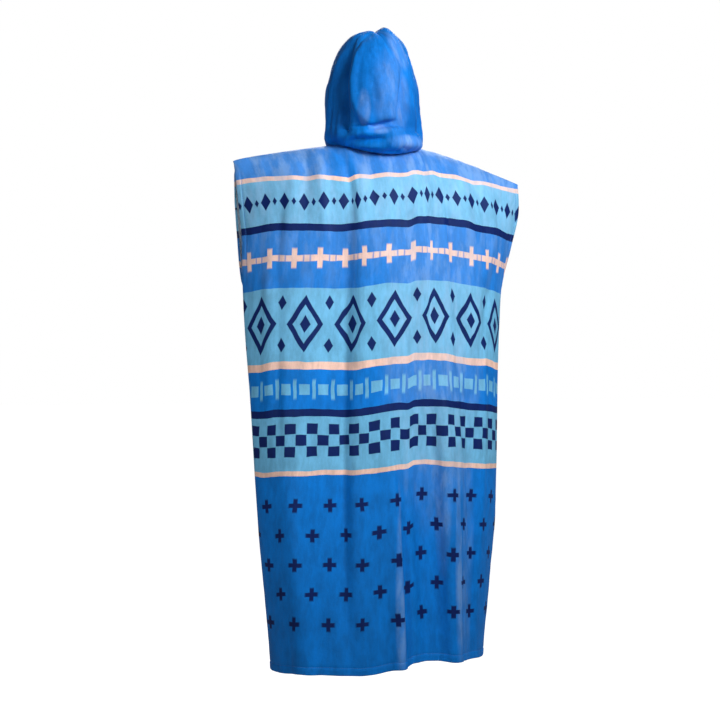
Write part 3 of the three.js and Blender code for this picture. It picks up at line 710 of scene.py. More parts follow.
def make_hood_half(hand, column_count, row_count):
    """Half the hood: a skirt from the neck seam to the first ring, then the rings to the top seam,
    with creases, a sunk centre seam and a turned face edge."""
    place = np.concatenate([np.zeros(1), np.linspace(0, HOOD_LAST, row_count)])[:, None]
    share = np.linspace(0, 1, column_count)[None, :] ** COLUMN_CROWDING
    place, share = (x.copy() for x in np.broadcast_arrays(place, share))
    at, n = hood_folded(hand, place, share)
    u = hood_smooth(hand, place, share)[1]
    run = along_rows(at)
    from_face = run[:, -1:] - run
    z = at[..., 2]
    high = creases(HOOD_CREASES, u, z, TROUGH_KINK) + rumples(HOOD_RUMPLES, u, z, RUMPLE_SEED["hood"])
    high *= smooth(place / CREASES_FADE["neck"]) * smooth((HOOD_LAST - place) / CREASES_FADE["top"])
    high *= smooth(from_face / CREASES_FADE["face"])
    high += hem_relief(from_face, FACE_HEM) + edge_round(from_face)
    # The centre seam: a narrow furrow between its two edges.
    to_seam = np.minimum(run, HOOD_SEAM["ring"] * (HOOD_LAST - place))
    high -= HOOD_SEAM["deep"] * np.exp(-((to_seam / HOOD_SEAM["wide"]) ** 2))
    # Both halves meet in one line, so that the seam shows as a line and not as a gap.
    n[:, 0, 0] = 0
    n[-1, :, 0] = 0
    n = unit(n)
    points = at + n * (CLOTH + high)[..., None]
    points[:, 0, 0] = 0
    points[-1, :, 0] = 0
    points[0] = neck_seam(hand, share[0], CLOTH, CLOTH - SEWN_IN)
    points = settle(points, hand)
    hemmed = smooth((FACE_HEM + THICKNESS_STEP - from_face) / THICKNESS_STEP)
    hemmed = hemmed * smooth((HOOD_LAST - place) / THIN_AT_TOP)
    thin = mixed(FIELD_THICKNESS / HEM_THICKNESS, 1.0, hemmed)
    name = "hood_half_right" if hand > 0 else "hood_half_left"
    piece = make_grid(name, points, np.stack([u, z], axis=-1), hand > 0, thin)
    mark_sharp(piece.data, column_count, len(points))
    return {"piece": piece, "points": points, "from_face": from_face, "n": n}


# A stitch in metres, how far it is pressed flat, and its rings: their places along it and their girths
STITCH = {"pitch": 0.0042, "length": 0.0034, "width": 0.0011, "flat": 0.7}
STITCH_RINGS = columns("along girth", (-0.5, 0.25), (-0.32, 1.0), (0.32, 1.0), (0.5, 0.25))
STITCH_SIDES = 6
STITCH_AHEAD = 0.001
STITCH_POINTS = STITCH_SIDES * len(STITCH_RINGS["along"])


def stitch_row(paths):
    """Points of many short stitches: along each path, one six-sided spindle every pitch."""
    rings = STITCH_RINGS["along"] * STITCH["length"]
    girth = STITCH_RINGS["girth"] * STITCH["width"] / 2
    around = np.arange(STITCH_SIDES) * 2 * np.pi / STITCH_SIDES
    verts, quads = [], []
    count = 0
    for path, normals in paths:
        walked = np.concatenate([[0], np.cumsum(np.linalg.norm(np.diff(path, axis=0), axis=1))])
        places = np.arange(STITCH["pitch"], walked[-1] - STITCH["pitch"] / 2, STITCH["pitch"])
        centre = np.stack([np.interp(places, walked, path[:, k]) for k in range(3)], axis=-1)
        ahead = np.stack([np.interp(places + STITCH_AHEAD, walked, path[:, k]) for k in range(3)], axis=-1)
        up = unit(np.stack([np.interp(places, walked, normals[:, k]) for k in range(3)], axis=-1))
        along = unit(ahead - centre)
        side = unit(np.cross(along, up))
        body = (
            centre[:, None, None, :]
            + along[:, None, None, :] * rings[None, :, None, None]
            + side[:, None, None, :] * (girth[:, None] * np.cos(around))[None, :, :, None]
            + up[:, None, None, :] * (STITCH["flat"] * girth[:, None] * np.sin(around))[None, :, :, None]
        )
        verts.append(body.reshape(-1, 3))
        ring, turn = np.meshgrid(np.arange(len(rings) - 1), np.arange(STITCH_SIDES), indexing="ij")
        after = (turn + 1) % STITCH_SIDES
        low = ring * STITCH_SIDES
        high = low + STITCH_SIDES
        one = np.stack([low + turn, low + after, high + after, high + turn], axis=-1)
        base = count + STITCH_POINTS * np.arange(len(places))
        quads.append((one.reshape(1, -1, 4) + base[:, None, None]).reshape(-1, 4))
        count += STITCH_POINTS * len(places)
    return np.concatenate(verts), np.concatenate(quads)


def make_stitches(name, paths):
    """One mesh of all the stitches along the given paths, with closed ends."""
    verts, quads = stitch_row(paths)
    first = np.arange(STITCH_SIDES)
    last = STITCH_POINTS - STITCH_SIDES + first
    starts = STITCH_POINTS * np.arange(len(verts) // STITCH_POINTS)
    ends = (np.stack([first[::-1], last])[None] + starts[:, None, None]).reshape(-1, STITCH_SIDES)
    mesh = bpy.data.meshes.new(name)
    mesh.from_pydata(verts.tolist(), [], quads.tolist() + ends.tolist())
    mesh.polygons.foreach_set("use_smooth", np.ones(len(mesh.polygons), bool))
    piece = bpy.data.objects.new(name, mesh)
    bpy.context.scene.collection.objects.link(piece)
    return piece


def beside_edge(points, normals, away, distance, from_last):
    """The path that keeps a distance to a grid's side edge, found between the two columns beside it."""
    if from_last:
        points, normals, away = points[:, ::-1], normals[:, ::-1], away[:, ::-1]
    first = np.argmax(away >= distance, axis=1)
    rows = np.arange(len(points))
    before = np.maximum(first - 1, 0)
    low, high = away[rows, before], away[rows, first]
    share = np.clip((distance - low) / np.maximum(high - low, 1e-9), 0, 1)[:, None]
    return mixed(points[rows, before], points[rows, first], share), normals[rows, first]


def srgb(text):
    """A hex colour as linear red, green, blue and alpha."""
    parts = [int(text[i : i + 2], 16) / 255 for i in (0, 2, 4)]
    return (*[c / 12.92 if c <= 0.04045 else ((c + 0.055) / 1.055) ** 2.4 for c in parts], 1.0)


DYES = {
    "blue": srgb("0070c8"),
    "aqua": srgb("66abd2"),
    "navy": srgb("031a58"),
    "peach": srgb("e6bfae"),
    "hood": srgb("0070ca"),
    "loops": srgb("cfe0ee"),
    "thread": srgb("2c6fbe"),
    # The next three are painted light: a paler painted sheen for the panels, a painted highlight for the
    # hood, and the hood's painted shade
    "bloom": srgb("9abbe0"),
    "hood bloom": srgb("98b8ea"),
    "deep": srgb("003f84"),
    "gloss": srgb("c8e8ff"),
    "panel halo": srgb("cfe4ff"),
    "hood halo": srgb("b4ccff"),
    "loops halo": srgb("ffffff"),
}


class Bench:
    """A node tree with short ways to add nodes and join them."""

    def __init__(self, tree):
        self.tree = tree

    def feed(self, socket, value):
        if isinstance(value, bpy.types.NodeSocket):
            self.tree.links.new(value, socket)
        else:
            socket.default_value = value

    def node(self, kind, settings=None, **inputs):
        made = self.tree.nodes.new(kind)
        for name, value in (settings or {}).items():
            setattr(made, name, value)
        for name, value in inputs.items():
            self.feed(made.inputs[name.replace("_", " ")], value)
        return made

    def maths(self, operation, *values):
        made = self.tree.nodes.new("ShaderNodeMath")
        made.operation = operation
        for socket, value in zip(made.inputs, values):
            self.feed(socket, value)
        return made.outputs[0]

    def mix(self, share, a, b, blend="MIX"):
        made = self.tree.nodes.new("ShaderNodeMix")
        made.data_type = "RGBA"
        made.blend_type = blend
        self.feed(made.inputs[0], share)
        self.feed(made.inputs[6], a)
        self.feed(made.inputs[7], b)
        return made.outputs[2]

    def noise(self, vector, scale, detail=2.0, rough=0.5):
        made = self.node("ShaderNodeTexNoise", None, Scale=scale, Detail=detail, Roughness=rough)
        self.feed(made.inputs["Vector"], vector)
        return made.outputs[0]

    def scaled(self, vector, by):
        made = self.node("ShaderNodeVectorMath", {"operation": "MULTIPLY"})
        self.feed(made.inputs[0], vector)
        made.inputs[1].default_value = by
        return made.outputs[0]

    def ramp(self, value, low, high, to_low=0.0, to_high=1.0):
        made = self.node("ShaderNodeMapRange", {"interpolation_type": "SMOOTHSTEP"}, Value=value)
        limits = {"From Min": low, "From Max": high, "To Min": to_low, "To Max": to_high}
        for name, number in limits.items():
            made.inputs[name].default_value = number
        return made.outputs[0]

    def weighted(self, values, shares):
        total = 0.0
        for name, share in shares.items():
            total = self.maths("ADD", total, self.maths("MULTIPLY", values[name], share))
        return total

    def bump(self, height, strength, distance):
        made = self.node("ShaderNodeBump", None, Strength=strength, Distance=distance, Height=height)
        return made.outputs["Normal"]


def make_group(name, inputs, outputs):
    """An empty shader node group with named sockets, and its input and output nodes."""
    tree = bpy.data.node_groups.new(name, "ShaderNodeTree")
    for label, kind, value in inputs:
        socket = tree.interface.new_socket(name=label, in_out="INPUT", socket_type=kind)
        if value is not None:
            socket.default_value = value
    for label, kind in outputs:
        tree.interface.new_socket(name=label, in_out="OUTPUT", socket_type=kind)
    bench = Bench(tree)
    return bench, tree.nodes.new("NodeGroupInput"), tree.nodes.new("NodeGroupOutput")


def motif_cell_group():
    """Repeats a motif along a row: x runs from the middle of each cell, y from the row's own line."""
    inputs = [(name, "NodeSocketFloat", 0.0) for name in ("u", "v", "Line", "Pitch", "Shift")]
    outputs = [(name, "NodeSocketFloat") for name in ("x", "y")]
    bench, given, put = make_group("motif cell", inputs, outputs)
    take = given.outputs
    moved = bench.maths("ADD", take["u"], bench.maths("MULTIPLY", take["Pitch"], take["Shift"]))
    cell = bench.maths("FRACT", bench.maths("ADD", bench.maths("DIVIDE", moved, take["Pitch"]), 100.5))
    x = bench.maths("MULTIPLY", bench.maths("SUBTRACT", cell, 0.5), take["Pitch"])
    bench.feed(put.inputs["x"], x)
    bench.feed(put.inputs["y"], bench.maths("SUBTRACT", take["v"], take["Line"]))
    return bench.tree


# The print: plain bands across the cloth, each from its length v down from the shoulder line
BANDS = [
    (0.000, "blue"),
    (0.150, "peach"),
    (0.163, "aqua"),
    (0.262, "navy"),
    (0.274, "blue"),
    (0.400, "aqua"),
    (0.568, "peach"),
    (0.584, "blue"),
    (0.672, "navy"),
    (0.684, "aqua"),
    (0.806, "peach"),
    (0.820, "blue"),
]
PRINT_SPAN = 1.4

# The printed edges waver by this much, over noise of this scale, and are this soft. A hollow lozenge is
# open within these shares of its size.
WAVER = {"by": 0.010, "scale": 14.0}
PRINT_EDGE = 0.0009
HOLLOW = (0.66, 0.70)

# The motif rows: shape, line v, pitch, shift, half width, half height and dye
MOTIF_ROWS = [
    ("lozenge", 0.2125, 0.046, 0.0, 0.0125, 0.020, "navy"),
    ("lozenge", 0.2125, 0.046, 0.5, 0.0055, 0.009, "navy"),
    ("cross", 0.338, 0.060, 0.25, 0.021, 0.0062, "peach"),
    ("square", 0.338, 0.060, 0.75, 0.0065, 0.0065, "peach"),
    ("hollow", 0.484, 0.112, 0.0, 0.043, 0.064, "navy"),
    ("lozenge", 0.484, 0.112, 0.0, 0.0125, 0.020, "navy"),
    ("lozenge", 0.436, 0.112, 0.5, 0.0110, 0.017, "navy"),
    ("lozenge", 0.532, 0.112, 0.5, 0.0110, 0.017, "navy"),
    ("square", 0.629, 0.044, 0.0, 0.0120, 0.0120, "aqua"),
    ("square", 0.629, 0.044, 0.5, 0.0040, 0.0210, "aqua"),
    ("square", 0.716, 0.050, 0.0, 0.0125, 0.0115, "navy"),
    ("square", 0.741, 0.050, 0.5, 0.0125, 0.0115, "navy"),
    ("square", 0.766, 0.050, 0.0, 0.0125, 0.0115, "navy"),
    ("cross", 0.886, 0.078, 0.0, 0.0150, 0.0048, "navy"),
    ("cross", 0.952, 0.078, 0.5, 0.0150, 0.0048, "navy"),
    ("cross", 1.018, 0.078, 0.0, 0.0150, 0.0048, "navy"),
    ("cross", 1.084, 0.078, 0.5, 0.0150, 0.0048, "navy"),
    ("cross", 1.150, 0.078, 0.0, 0.0150, 0.0048, "navy"),
]


def motif_reach(bench, shape, x, y, wide, tall):
    """How far out of the motif a point lies, 1 on its edge: for a lozenge |x|/wide + |y|/tall, for a
    square the larger of the two, and for a cross the nearer of its two bars."""
    x, y = bench.maths("ABSOLUTE", x), bench.maths("ABSOLUTE", y)

    def bar(across, down):
        return bench.maths("MAXIMUM", bench.maths("DIVIDE", x, across), bench.maths("DIVIDE", y, down))

    if shape == "square":
        return bar(wide, tall)
    if shape == "cross":
        return bench.maths("MINIMUM", bar(wide, tall), bar(tall, wide))
    return bench.maths("ADD", bench.maths("DIVIDE", x, wide), bench.maths("DIVIDE", y, tall))


def towel_print_group(cells):
    """The printed colours from the cloth's own coordinates, with edges that waver a little."""
    bench, given, put = make_group(
        "towel print", [("Cloth", "NodeSocketVector", None)], [("Color", "NodeSocketColor")]
    )
    cloth = given.outputs["Cloth"]
    parts = bench.node("ShaderNodeSeparateXYZ", None, Vector=cloth).outputs
    waver = bench.node("ShaderNodeTexNoise", None, Vector=cloth, Scale=WAVER["scale"], Detail=2.0)
    drift = bench.node("ShaderNodeSeparateColor", None, Color=waver.outputs["Color"]).outputs

    def wavered(i):
        off = bench.maths("SUBTRACT", drift[i], 0.5)
        return bench.maths("ADD", parts[i], bench.maths("MULTIPLY", off, WAVER["by"]))

    u, v = wavered(0), wavered(1)
    ramp = bench.node("ShaderNodeValToRGB")
    ramp.color_ramp.interpolation = "CONSTANT"
    stops = ramp.color_ramp.elements
    stops[0].position, stops[0].color = 0.0, DYES[BANDS[0][1]]
    stops[1].position, stops[1].color = BANDS[1][0] / PRINT_SPAN, DYES[BANDS[1][1]]
    for line, dye in BANDS[2:]:
        stops.new(line / PRINT_SPAN).color = DYES[dye]
    bench.feed(ramp.inputs[0], bench.maths("DIVIDE", v, PRINT_SPAN))
    colour = ramp.outputs["Color"]
    for shape, line, pitch, shift, wide, tall, dye in MOTIF_ROWS:
        where = {"u": u, "v": v, "Line": line, "Pitch": pitch, "Shift": shift}
        cell = bench.node("ShaderNodeGroup", {"node_tree": cells}, **where)
        reach = motif_reach(bench, shape, cell.outputs["x"], cell.outputs["y"], wide, tall)
        edge = PRINT_EDGE / min(wide, tall)
        mask = bench.ramp(reach, 1 - edge, 1 + edge, 1.0, 0.0)
        if shape == "hollow":
            mask = bench.maths("SUBTRACT", mask, bench.ramp(reach, *HOLLOW, 1.0, 0.0))
        colour = bench.mix(mask, colour, DYES[dye])
    bench.feed(put.inputs["Color"], colour)
    return bench.tree


# The pile's noises: how far each is stretched along the cloth, its scale, its detail and its roughness
PILE = {
    "brush": (0.30, 38.0, 5.0, 0.6),
    "streaks": (0.28, 95.0, 4.0, 0.65),
    "patches": (0.60, 24.0, 4.0, 0.6),
    "tufts": (1.0, 620.0, 2.0, 0.6),
    "lumps": (1.0, 150.0, 3.0, 0.6),
}
PILE_SHADE = {"streaks": 0.42, "patches": 0.42, "tufts": 0.16}
PILE_HEIGHT = {"tufts": 0.55, "lumps": 0.75}
PILE_BUMP = 0.55
PANEL_PILE_DEPTH = 0.0012
BRUSH_RANGE = (0.38, 0.68)

# The loops: scale, unevenness, spacing along the cloth, the patches' scale and the bump's two sizes
LOOPS = {"scale": 520.0, "uneven": 0.75, "along": 0.8, "patches": 26.0, "bump": 0.9, "deep": 0.0016}
LOOP_PATCH_DETAIL = 3.0
LOOP_SHADE = {"height": 0.5, "patches": 0.5}


def pile_group():
    """Sheared pile: Shade darkens and lightens where the nap lies differently, in streaks along the
    cloth, patches and single tufts. Brush marks long strokes. Normal carries the tufts as a fine bump."""
    bench, given, put = make_group(
        "velour pile",
        [("Cloth", "NodeSocketVector", None), ("Depth", "NodeSocketFloat", PANEL_PILE_DEPTH)],
        [("Shade", "NodeSocketFloat"), ("Brush", "NodeSocketFloat"), ("Normal", "NodeSocketVector")],
    )
    cloth = given.outputs["Cloth"]
    noises = {}
    for name, (along, scale, detail, rough) in PILE.items():
        noises[name] = bench.noise(bench.scaled(cloth, (1.0, along, 1.0)), scale, detail, rough)
    height = bench.weighted(noises, PILE_HEIGHT)
    bench.feed(put.inputs["Shade"], bench.weighted(noises, PILE_SHADE))
    bench.feed(put.inputs["Brush"], bench.ramp(noises["brush"], *BRUSH_RANGE))
    bench.feed(put.inputs["Normal"], bench.bump(height, PILE_BUMP, given.outputs["Depth"]))
    return bench.tree


def loops_group():
    """Uncut loops in close rows: a cell pattern gives each loop its bump and its shade."""
    outputs = [("Shade", "NodeSocketFloat"), ("Normal", "NodeSocketVector")]
    bench, given, put = make_group("towel loops", [("Cloth", "NodeSocketVector", None)], outputs)
    cloth = given.outputs["Cloth"]
    rows = bench.scaled(cloth, (1.0, LOOPS["along"], 1.0))
    loop = {"Vector": rows, "Scale": LOOPS["scale"], "Randomness": LOOPS["uneven"]}
    cells = bench.node("ShaderNodeTexVoronoi", None, **loop)
    height = bench.maths("SUBTRACT", 1.0, cells.outputs["Distance"])
    looks = {"height": height, "patches": bench.noise(cloth, LOOPS["patches"], LOOP_PATCH_DETAIL)}
    bench.feed(put.inputs["Shade"], bench.weighted(looks, LOOP_SHADE))
    bench.feed(put.inputs["Normal"], bench.bump(height, LOOPS["bump"], LOOPS["deep"]))
    return bench.tree


def begin_material(name):
    """A material with its bench, its Principled shader and the cloth's coordinates."""
    material = bpy.data.materials.new(name)
    material.use_nodes = True
    bench = Bench(material.node_tree)
    shader = material.node_tree.nodes["Principled BSDF"]
    cloth = bench.node("ShaderNodeUVMap", {"uv_map": "cloth"}).outputs["UV"]
    return material, bench, shader, cloth


# The nap's gloss, the shades between which it turns from deep to pale, and how far on each face
NAP_GLOSS = {"Roughness": 0.60, "Specular IOR Level": 0.22, "Sheen Roughness": 0.36}
NAP_SHADES = (0.36, 0.64)
NAP_DEPTH = {"panels": (0.80, 1.12), "hood": (0.72, 1.14), "loops": (0.72, 1.05), "thread": (0.75, 1.1)}
HOOD_PILE_DEPTH = 0.0016
VELOUR_SHEEN = 0.02
LOOPS_SHEEN = 0.08
GHOST_OF_DYE = 0.22

# The panels are painted paler from the shoulder line to this far down, a painted sheen where the light from
# above falls, the more so in the nap's brush strokes, and not where the print is dark
NECK_PAINTED_SHEEN = {"down": 0.55, "strength": 0.38}
PANEL_STROKES = (0.45, 1.25)
DARK_DYE = (0.12, 0.45)
# How far the hood's brush strokes break up its painted highlights and painted shade
HOOD_STROKES = {"paler": (0.30, 1.0), "deeper": (0.65, 1.0)}


def set_nap(shader, sheen, tint):
    """The soft halo of pile seen edge on."""
    for name, value in NAP_GLOSS.items():
        shader.inputs[name].default_value = value
    shader.inputs["Specular Tint"].default_value = DYES["gloss"]
    shader.inputs["Sheen Weight"].default_value = sheen
    shader.inputs["Sheen Tint"].default_value = tint


def nap_tinted(bench, colour, shade, face):
    """The dye, deeper where the nap lies away and paler where it lies towards the light."""
    level_of = bench.ramp(shade, *NAP_SHADES, *NAP_DEPTH[face])
    grey = bench.node("ShaderNodeCombineColor", None, Red=level_of, Green=level_of, Blue=level_of)
    return bench.mix(1.0, colour, grey.outputs["Color"], "MULTIPLY")


def printed_velour(print_tree, pile_tree):
    """The panels' outer face."""
    material, bench, shader, cloth = begin_material("printed velour")
    printed = bench.node("ShaderNodeGroup", {"node_tree": print_tree}, Cloth=cloth)
    pile = bench.node("ShaderNodeGroup", {"node_tree": pile_tree}, Cloth=cloth)
    colour = nap_tinted(bench, printed.outputs["Color"], pile.outputs["Shade"], "panels")
    # Painted sheen: the dye is mixed paler near the neck and along lit ridges, and less so where shade
    # falls
    down = bench.node("ShaderNodeSeparateXYZ", None, Vector=cloth).outputs["Y"]
    neck_sheen = bench.ramp(down, 0.0, NECK_PAINTED_SHEEN["down"], NECK_PAINTED_SHEEN["strength"], 0.0)
    places = bench.maths("MAXIMUM", neck_sheen, painted_light_share(bench, cloth, PANEL_PAINTED_HIGHLIGHTS))
    places = bench.maths("SUBTRACT", places, painted_light_share(bench, cloth, PANEL_PAINTED_SHADE))
    places = bench.maths("MAXIMUM", places, 0.0)
    strokes = bench.ramp(pile.outputs["Brush"], 0.0, 1.0, *PANEL_STROKES)
    dye = bench.node("ShaderNodeSeparateColor", None, Color=printed.outputs["Color"]).outputs["Blue"]
    paler = bench.maths("MULTIPLY", bench.maths("MULTIPLY", places, strokes), bench.ramp(dye, *DARK_DYE))
    bench.feed(shader.inputs["Base Color"], bench.mix(paler, colour, DYES["bloom"]))
    bench.feed(shader.inputs["Normal"], pile.outputs["Normal"])
    set_nap(shader, VELOUR_SHEEN, DYES["panel halo"])
    return material


# Where the hood is painted paler as a painted highlight, and where it is painted deeper as painted shade: u
# and v of the middle, half sizes and strength
HOOD_PAINTED_HIGHLIGHTS = [
    (0.012, 0.115, 0.048, 0.105, 0.24),
    (-0.051, 0.076, 0.014, 0.044, 0.30),
    (0.062, 0.004, 0.070, 0.018, 0.50),
    (-0.020, 0.030, 0.028, 0.014, 0.36),
    (0.052, 0.215, 0.040, 0.050, 0.34),
    (0.215, 0.110, 0.050, 0.090, 0.20),
    (-0.215, 0.120, 0.045, 0.090, 0.20),
]
HOOD_PAINTED_SHADE = [
    (-0.028, 0.090, 0.010, 0.060, 0.30),
    (-0.048, 0.170, 0.030, 0.060, 0.22),
    (-0.083, 0.112, 0.009, 0.052, 0.55),
    (0.032, 0.058, 0.016, 0.030, 0.45),
    (0.064, 0.056, 0.048, 0.042, 0.55),
    (0.100, 0.095, 0.032, 0.080, 0.40),
    (-0.122, 0.110, 0.036, 0.160, 0.52),
]

# The same for the panels, v measured down from the shoulder line: painted highlights along lit ridges, and
# places where the painted sheen is held back as painted shade
PANEL_PAINTED_HIGHLIGHTS = [
    (0.120, 0.420, 0.170, 0.560, 0.24),
    (0.008, 1.080, 0.014, 0.240, 0.24),
    (0.132, 0.820, 0.024, 0.260, 0.22),
    (0.172, 1.040, 0.014, 0.280, 0.26),
    (0.215, 1.000, 0.030, 0.300, 0.14),
    (0.030, 0.700, 0.014, 0.200, 0.20),
]
PANEL_PAINTED_SHADE = [
    (-0.125, 0.110, 0.060, 0.110, 0.26),
    (-0.030, 0.130, 0.016, 0.080, 0.14),
    (0.150, 0.150, 0.022, 0.060, 0.14),
]


# Each painted place is whole within the first share of its reach and gone at the second.
PLACE_EDGE = (0.20, 1.15)


def painted_light_share(bench, cloth, places):
    """Soft ellipses over the listed places of painted highlight or painted shade."""
    parts = bench.node("ShaderNodeSeparateXYZ", None, Vector=cloth).outputs
    share = 0.0
    for u, v, wide, tall, strength in places:
        across = bench.maths("DIVIDE", bench.maths("SUBTRACT", parts[0], u), wide)
        up = bench.maths("DIVIDE", bench.maths("SUBTRACT", parts[1], v), tall)
        reach = bench.maths("ADD", bench.maths("MULTIPLY", across, across), bench.maths("MULTIPLY", up, up))
        share = bench.maths("MAXIMUM", share, bench.ramp(reach, *PLACE_EDGE, strength, 0.0))
    return share


def plain_velour(pile_tree):
    """The hood's outer face, with painted shade on its left flank, in fold valleys and low on its right
    side, and painted highlights on its bulge, roll and sides.
    """
    material, bench, shader, cloth = begin_material("hood velour")
    pile = bench.node("ShaderNodeGroup", {"node_tree": pile_tree}, Cloth=cloth, Depth=HOOD_PILE_DEPTH)
    colour = nap_tinted(bench, DYES["hood"], pile.outputs["Shade"], "hood")
    # Painted shade first, then painted highlights, each broken up by the nap's brush strokes
    for places, strokes, dye in ((HOOD_PAINTED_SHADE, "deeper", "deep"), (HOOD_PAINTED_HIGHLIGHTS, "paler", "hood bloom")):
        stroke = bench.ramp(pile.outputs["Brush"], 0.0, 1.0, *HOOD_STROKES[strokes])
        share = bench.maths("MULTIPLY", painted_light_share(bench, cloth, places), stroke)
        colour = bench.mix(share, colour, DYES[dye])
    bench.feed(shader.inputs["Base Color"], colour)
    bench.feed(shader.inputs["Normal"], pile.outputs["Normal"])
    set_nap(shader, VELOUR_SHEEN, DYES["hood halo"])
    return material


def loop_side(name, loops_tree, print_tree):
    """The wrong side: pale loops, with a ghost of the dye through them."""
    material, bench, shader, cloth = begin_material(name)
    loops = bench.node("ShaderNodeGroup", {"node_tree": loops_tree}, Cloth=cloth)
    if print_tree:
        dye = bench.node("ShaderNodeGroup", {"node_tree": print_tree}, Cloth=cloth).outputs["Color"]
    else:
        dye = DYES["hood"]
    pale = bench.mix(GHOST_OF_DYE, DYES["loops"], dye)
    bench.feed(shader.inputs["Base Color"], nap_tinted(bench, pale, loops.outputs["Shade"], "loops"))
    bench.feed(shader.inputs["Normal"], loops.outputs["Normal"])
    set_nap(shader, LOOPS_SHEEN, DYES["loops halo"])
    return material


# The thread: its twist's scale and waver, its bump's two sizes and its roughness
THREAD = {"scale": 900.0, "waver": 0.5, "bump": 0.4, "deep": 0.0003, "rough": 0.55}


def thread_material():
    """Twisted sewing thread: fine slanting rings on object coordinates."""
    material = bpy.data.materials.new("sewing thread")
    material.use_nodes = True
    bench = Bench(material.node_tree)
    shader = material.node_tree.nodes["Principled BSDF"]
    place = bench.node("ShaderNodeTexCoord").outputs["Object"]
    wave = {"Vector": place, "Scale": THREAD["scale"], "Distortion": THREAD["waver"]}
    twist = bench.node("ShaderNodeTexWave", {"bands_direction": "DIAGONAL"}, **wave).outputs["Fac"]
    bench.feed(shader.inputs["Base Color"], nap_tinted(bench, DYES["thread"], twist, "thread"))
    bench.feed(shader.inputs["Normal"], bench.bump(twist, THREAD["bump"], THREAD["deep"]))
    shader.inputs["Roughness"].default_value = THREAD["rough"]
    return material


print_tree = towel_print_group(motif_cell_group())
pile_tree = pile_group()
loops_tree = loops_group()
panel_face = printed_velour(print_tree, pile_tree)
panel_back = loop_side("printed towelling wrong side", loops_tree, print_tree)
hood_face = plain_velour(pile_tree)
hood_back = loop_side("hood towelling wrong side", loops_tree, None)
thread = thread_material()


def finish_cloth(made, node, faces):
    """Gives a cloth piece its two faces, hangs it on the root and hides the solid it stands for."""
    piece = made["piece"]
    for face in faces:
        piece.data.materials.append(face)
    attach(piece, "root")
    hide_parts(node)


panels = {side: make_panel(side, *PANEL_GRID[side]) for side in ("back", "front")}
hood = {side: make_hood_half(hand, *HOOD_GRID) for side, hand in (("left", -1), ("right", 1))}
for side, made in panels.items():
    faces = (panel_face, panel_back)
    finish_cloth(made, f"{side}_panel", faces)
for side, made in hood.items():
    finish_cloth(made, f"hood_{side}", (hood_face, hood_back))

# The stretch of each arm slit that is stitched, and the points left out at a stitch line's two ends
SLIT_STITCHED = (0.02, 0.98)
LINE_ENDS = slice(2, -2)


def panel_stitch_paths(made):
    """The hem's line, and the lines beside both arm slits."""
    points, normals = made["points"], made["n"]
    hem_row = len(points) - len(HEM_ROWS) + HEM_ROWS.index(HEM_STITCH)
    paths = [(points[hem_row, LINE_ENDS], normals[hem_row, LINE_ENDS])]
    slit = made["slit"][:, 0]
    in_slit = (slit > SLIT_STITCHED[0]) & (slit < SLIT_STITCHED[1])
    for from_last in (False, True):
        path, up = beside_edge(points, normals, made["from_side"], ARMHOLE_HEM, from_last)
        paths.append((path[in_slit], up[in_slit]))
    return paths


def hood_stitch_paths(made):
    """The line round the face edge, on each half."""
    path, up = beside_edge(made["points"], made["n"], made["from_face"], FACE_HEM, True)
    return [(path[LINE_ENDS], up[LINE_ENDS])]


stitch_lines = {f"stitches_{side}": panel_stitch_paths(made) for side, made in panels.items()}
stitch_lines |= {f"stitches_hood_{side}": hood_stitch_paths(made) for side, made in hood.items()}
for name, paths in stitch_lines.items():
    row = make_stitches(name, paths)
    row.data.materials.append(thread)
    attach(row, "root")

# The studio: a pale floor well below the hem and a pale surround, each with its strength as a light and
# as it is seen, and three soft boxes with their place, aim, power, size and beam in degrees
FLOOR_DROP = 0.32
FLOOR_REACH = 30.0
FLOOR_COLOUR = (0.2, 0.2, 0.2, 1)
FLOOR_ROUGHNESS = 0.9
FLOOR_GLOW = (0.14, 0.98)
SURROUND_GLOW = (0.17, 1.0)
WHITE = (1, 1, 1, 1)
LAMPS = {
    "key": ((0.95, -1.95, 0.95), (0, 0, 0.02), 21, 1.2, 88),
    "low fill": ((-1.5, -1.7, -0.7), (-0.25, 0, -0.45), 1.7, 0.6, 56),
    "front": ((0.8, 2.2, 1.2), (0, 0, -0.3), 50, 1.4, 180),
}


def make_floor():
    """A wide pale floor under the hem's height, white where it is seen and dim as a light."""
    mesh = bpy.data.meshes.new("floor")
    corners = np.array([(-1, -1, 0), (1, -1, 0), (1, 1, 0), (-1, 1, 0)]) * FLOOR_REACH
    corners[:, 2] = HEM_Z - FLOOR_DROP
    mesh.from_pydata(corners.tolist(), [], [(0, 1, 2, 3)])
    floor = bpy.data.objects.new("floor", mesh)
    bpy.context.scene.collection.objects.link(floor)
    paint = bpy.data.materials.new("floor paint")
    paint.use_nodes = True
    shader = paint.node_tree.nodes["Principled BSDF"]
    shader.inputs["Base Color"].default_value = FLOOR_COLOUR
    shader.inputs["Roughness"].default_value = FLOOR_ROUGHNESS
    shader.inputs["Emission Color"].default_value = WHITE
    bench = Bench(paint.node_tree)
    seen = bench.node("ShaderNodeLightPath").outputs["Is Camera Ray"]
    bench.feed(shader.inputs["Emission Strength"], bench.ramp(seen, 0.0, 1.0, *FLOOR_GLOW))
    mesh.materials.append(paint)


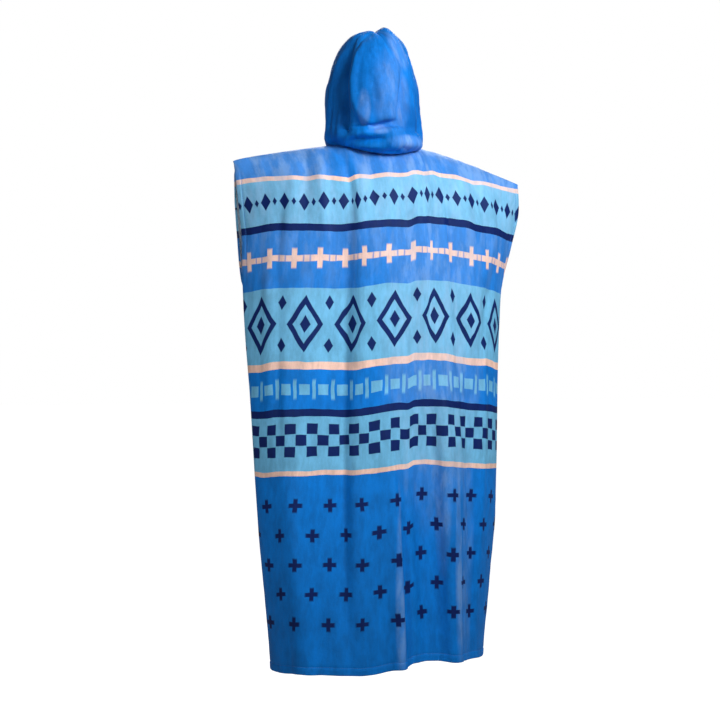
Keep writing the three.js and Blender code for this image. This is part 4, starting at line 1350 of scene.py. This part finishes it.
def add_light(name, place, aim, power, size, spread):
    """A square soft box that points from its place to its aim, in a beam of so many degrees."""
    light = bpy.data.lights.new(name, "AREA")
    light.energy = power
    light.size = size
    light.spread = math.radians(spread)
    lamp = bpy.data.objects.new(name, light)
    lamp.location = place
    direction = np.array(aim, float) - np.array(place, float)
    lamp.rotation_euler = look_along(direction)
    bpy.context.scene.collection.objects.link(lamp)


def look_along(direction):
    """Euler angles that turn -Z along a direction, with the top up."""
    x, y, z = direction / np.linalg.norm(direction)
    return (math.acos(-z), 0.0, math.atan2(-x, y))


# The photograph's view, from behind and a little to the left, at the height of the waist
VIEW_TURN = math.radians(-17)
VIEW_DISTANCE = 3.0
VIEW_HEIGHT = -0.5
FOCAL_PIXELS = 1288
SENSOR_WIDTH = 36
PICTURE_SIDE = 720
PICTURE_MIDDLE = (376, 365)


def make_camera():
    """A level camera at the photograph's angle, shifted a few pixels to its framing."""
    data = bpy.data.cameras.new("camera")
    data.sensor_width = SENSOR_WIDTH
    data.lens = FOCAL_PIXELS / PICTURE_SIDE * data.sensor_width
    data.shift_x = (PICTURE_SIDE / 2 - PICTURE_MIDDLE[0]) / PICTURE_SIDE
    data.shift_y = (PICTURE_MIDDLE[1] - PICTURE_SIDE / 2) / PICTURE_SIDE
    camera = bpy.data.objects.new("camera", data)
    ahead = np.array([-math.sin(VIEW_TURN), math.cos(VIEW_TURN), 0.0])
    camera.location = (*(-ahead * VIEW_DISTANCE)[:2], VIEW_HEIGHT)
    camera.rotation_euler = look_along(ahead)
    bpy.context.scene.collection.objects.link(camera)
    bpy.context.scene.camera = camera


def make_world():
    """A plain pale surround: white where it is seen, dimmer as a light, so that folds keep their shade."""
    world = bpy.data.worlds.new("surround")
    world.use_nodes = True
    bench = Bench(world.node_tree)
    sky = world.node_tree.nodes["Background"]
    sky.inputs["Color"].default_value = WHITE
    seen = bench.node("ShaderNodeLightPath").outputs["Is Camera Ray"]
    bench.feed(sky.inputs["Strength"], bench.ramp(seen, 0.0, 1.0, *SURROUND_GLOW))
    bpy.context.scene.world = world


make_floor()
for lamp_name, settings in LAMPS.items():
    add_light(lamp_name, *settings)
make_world()
make_camera()
bpy.context.scene.view_settings.view_transform = "Standard"
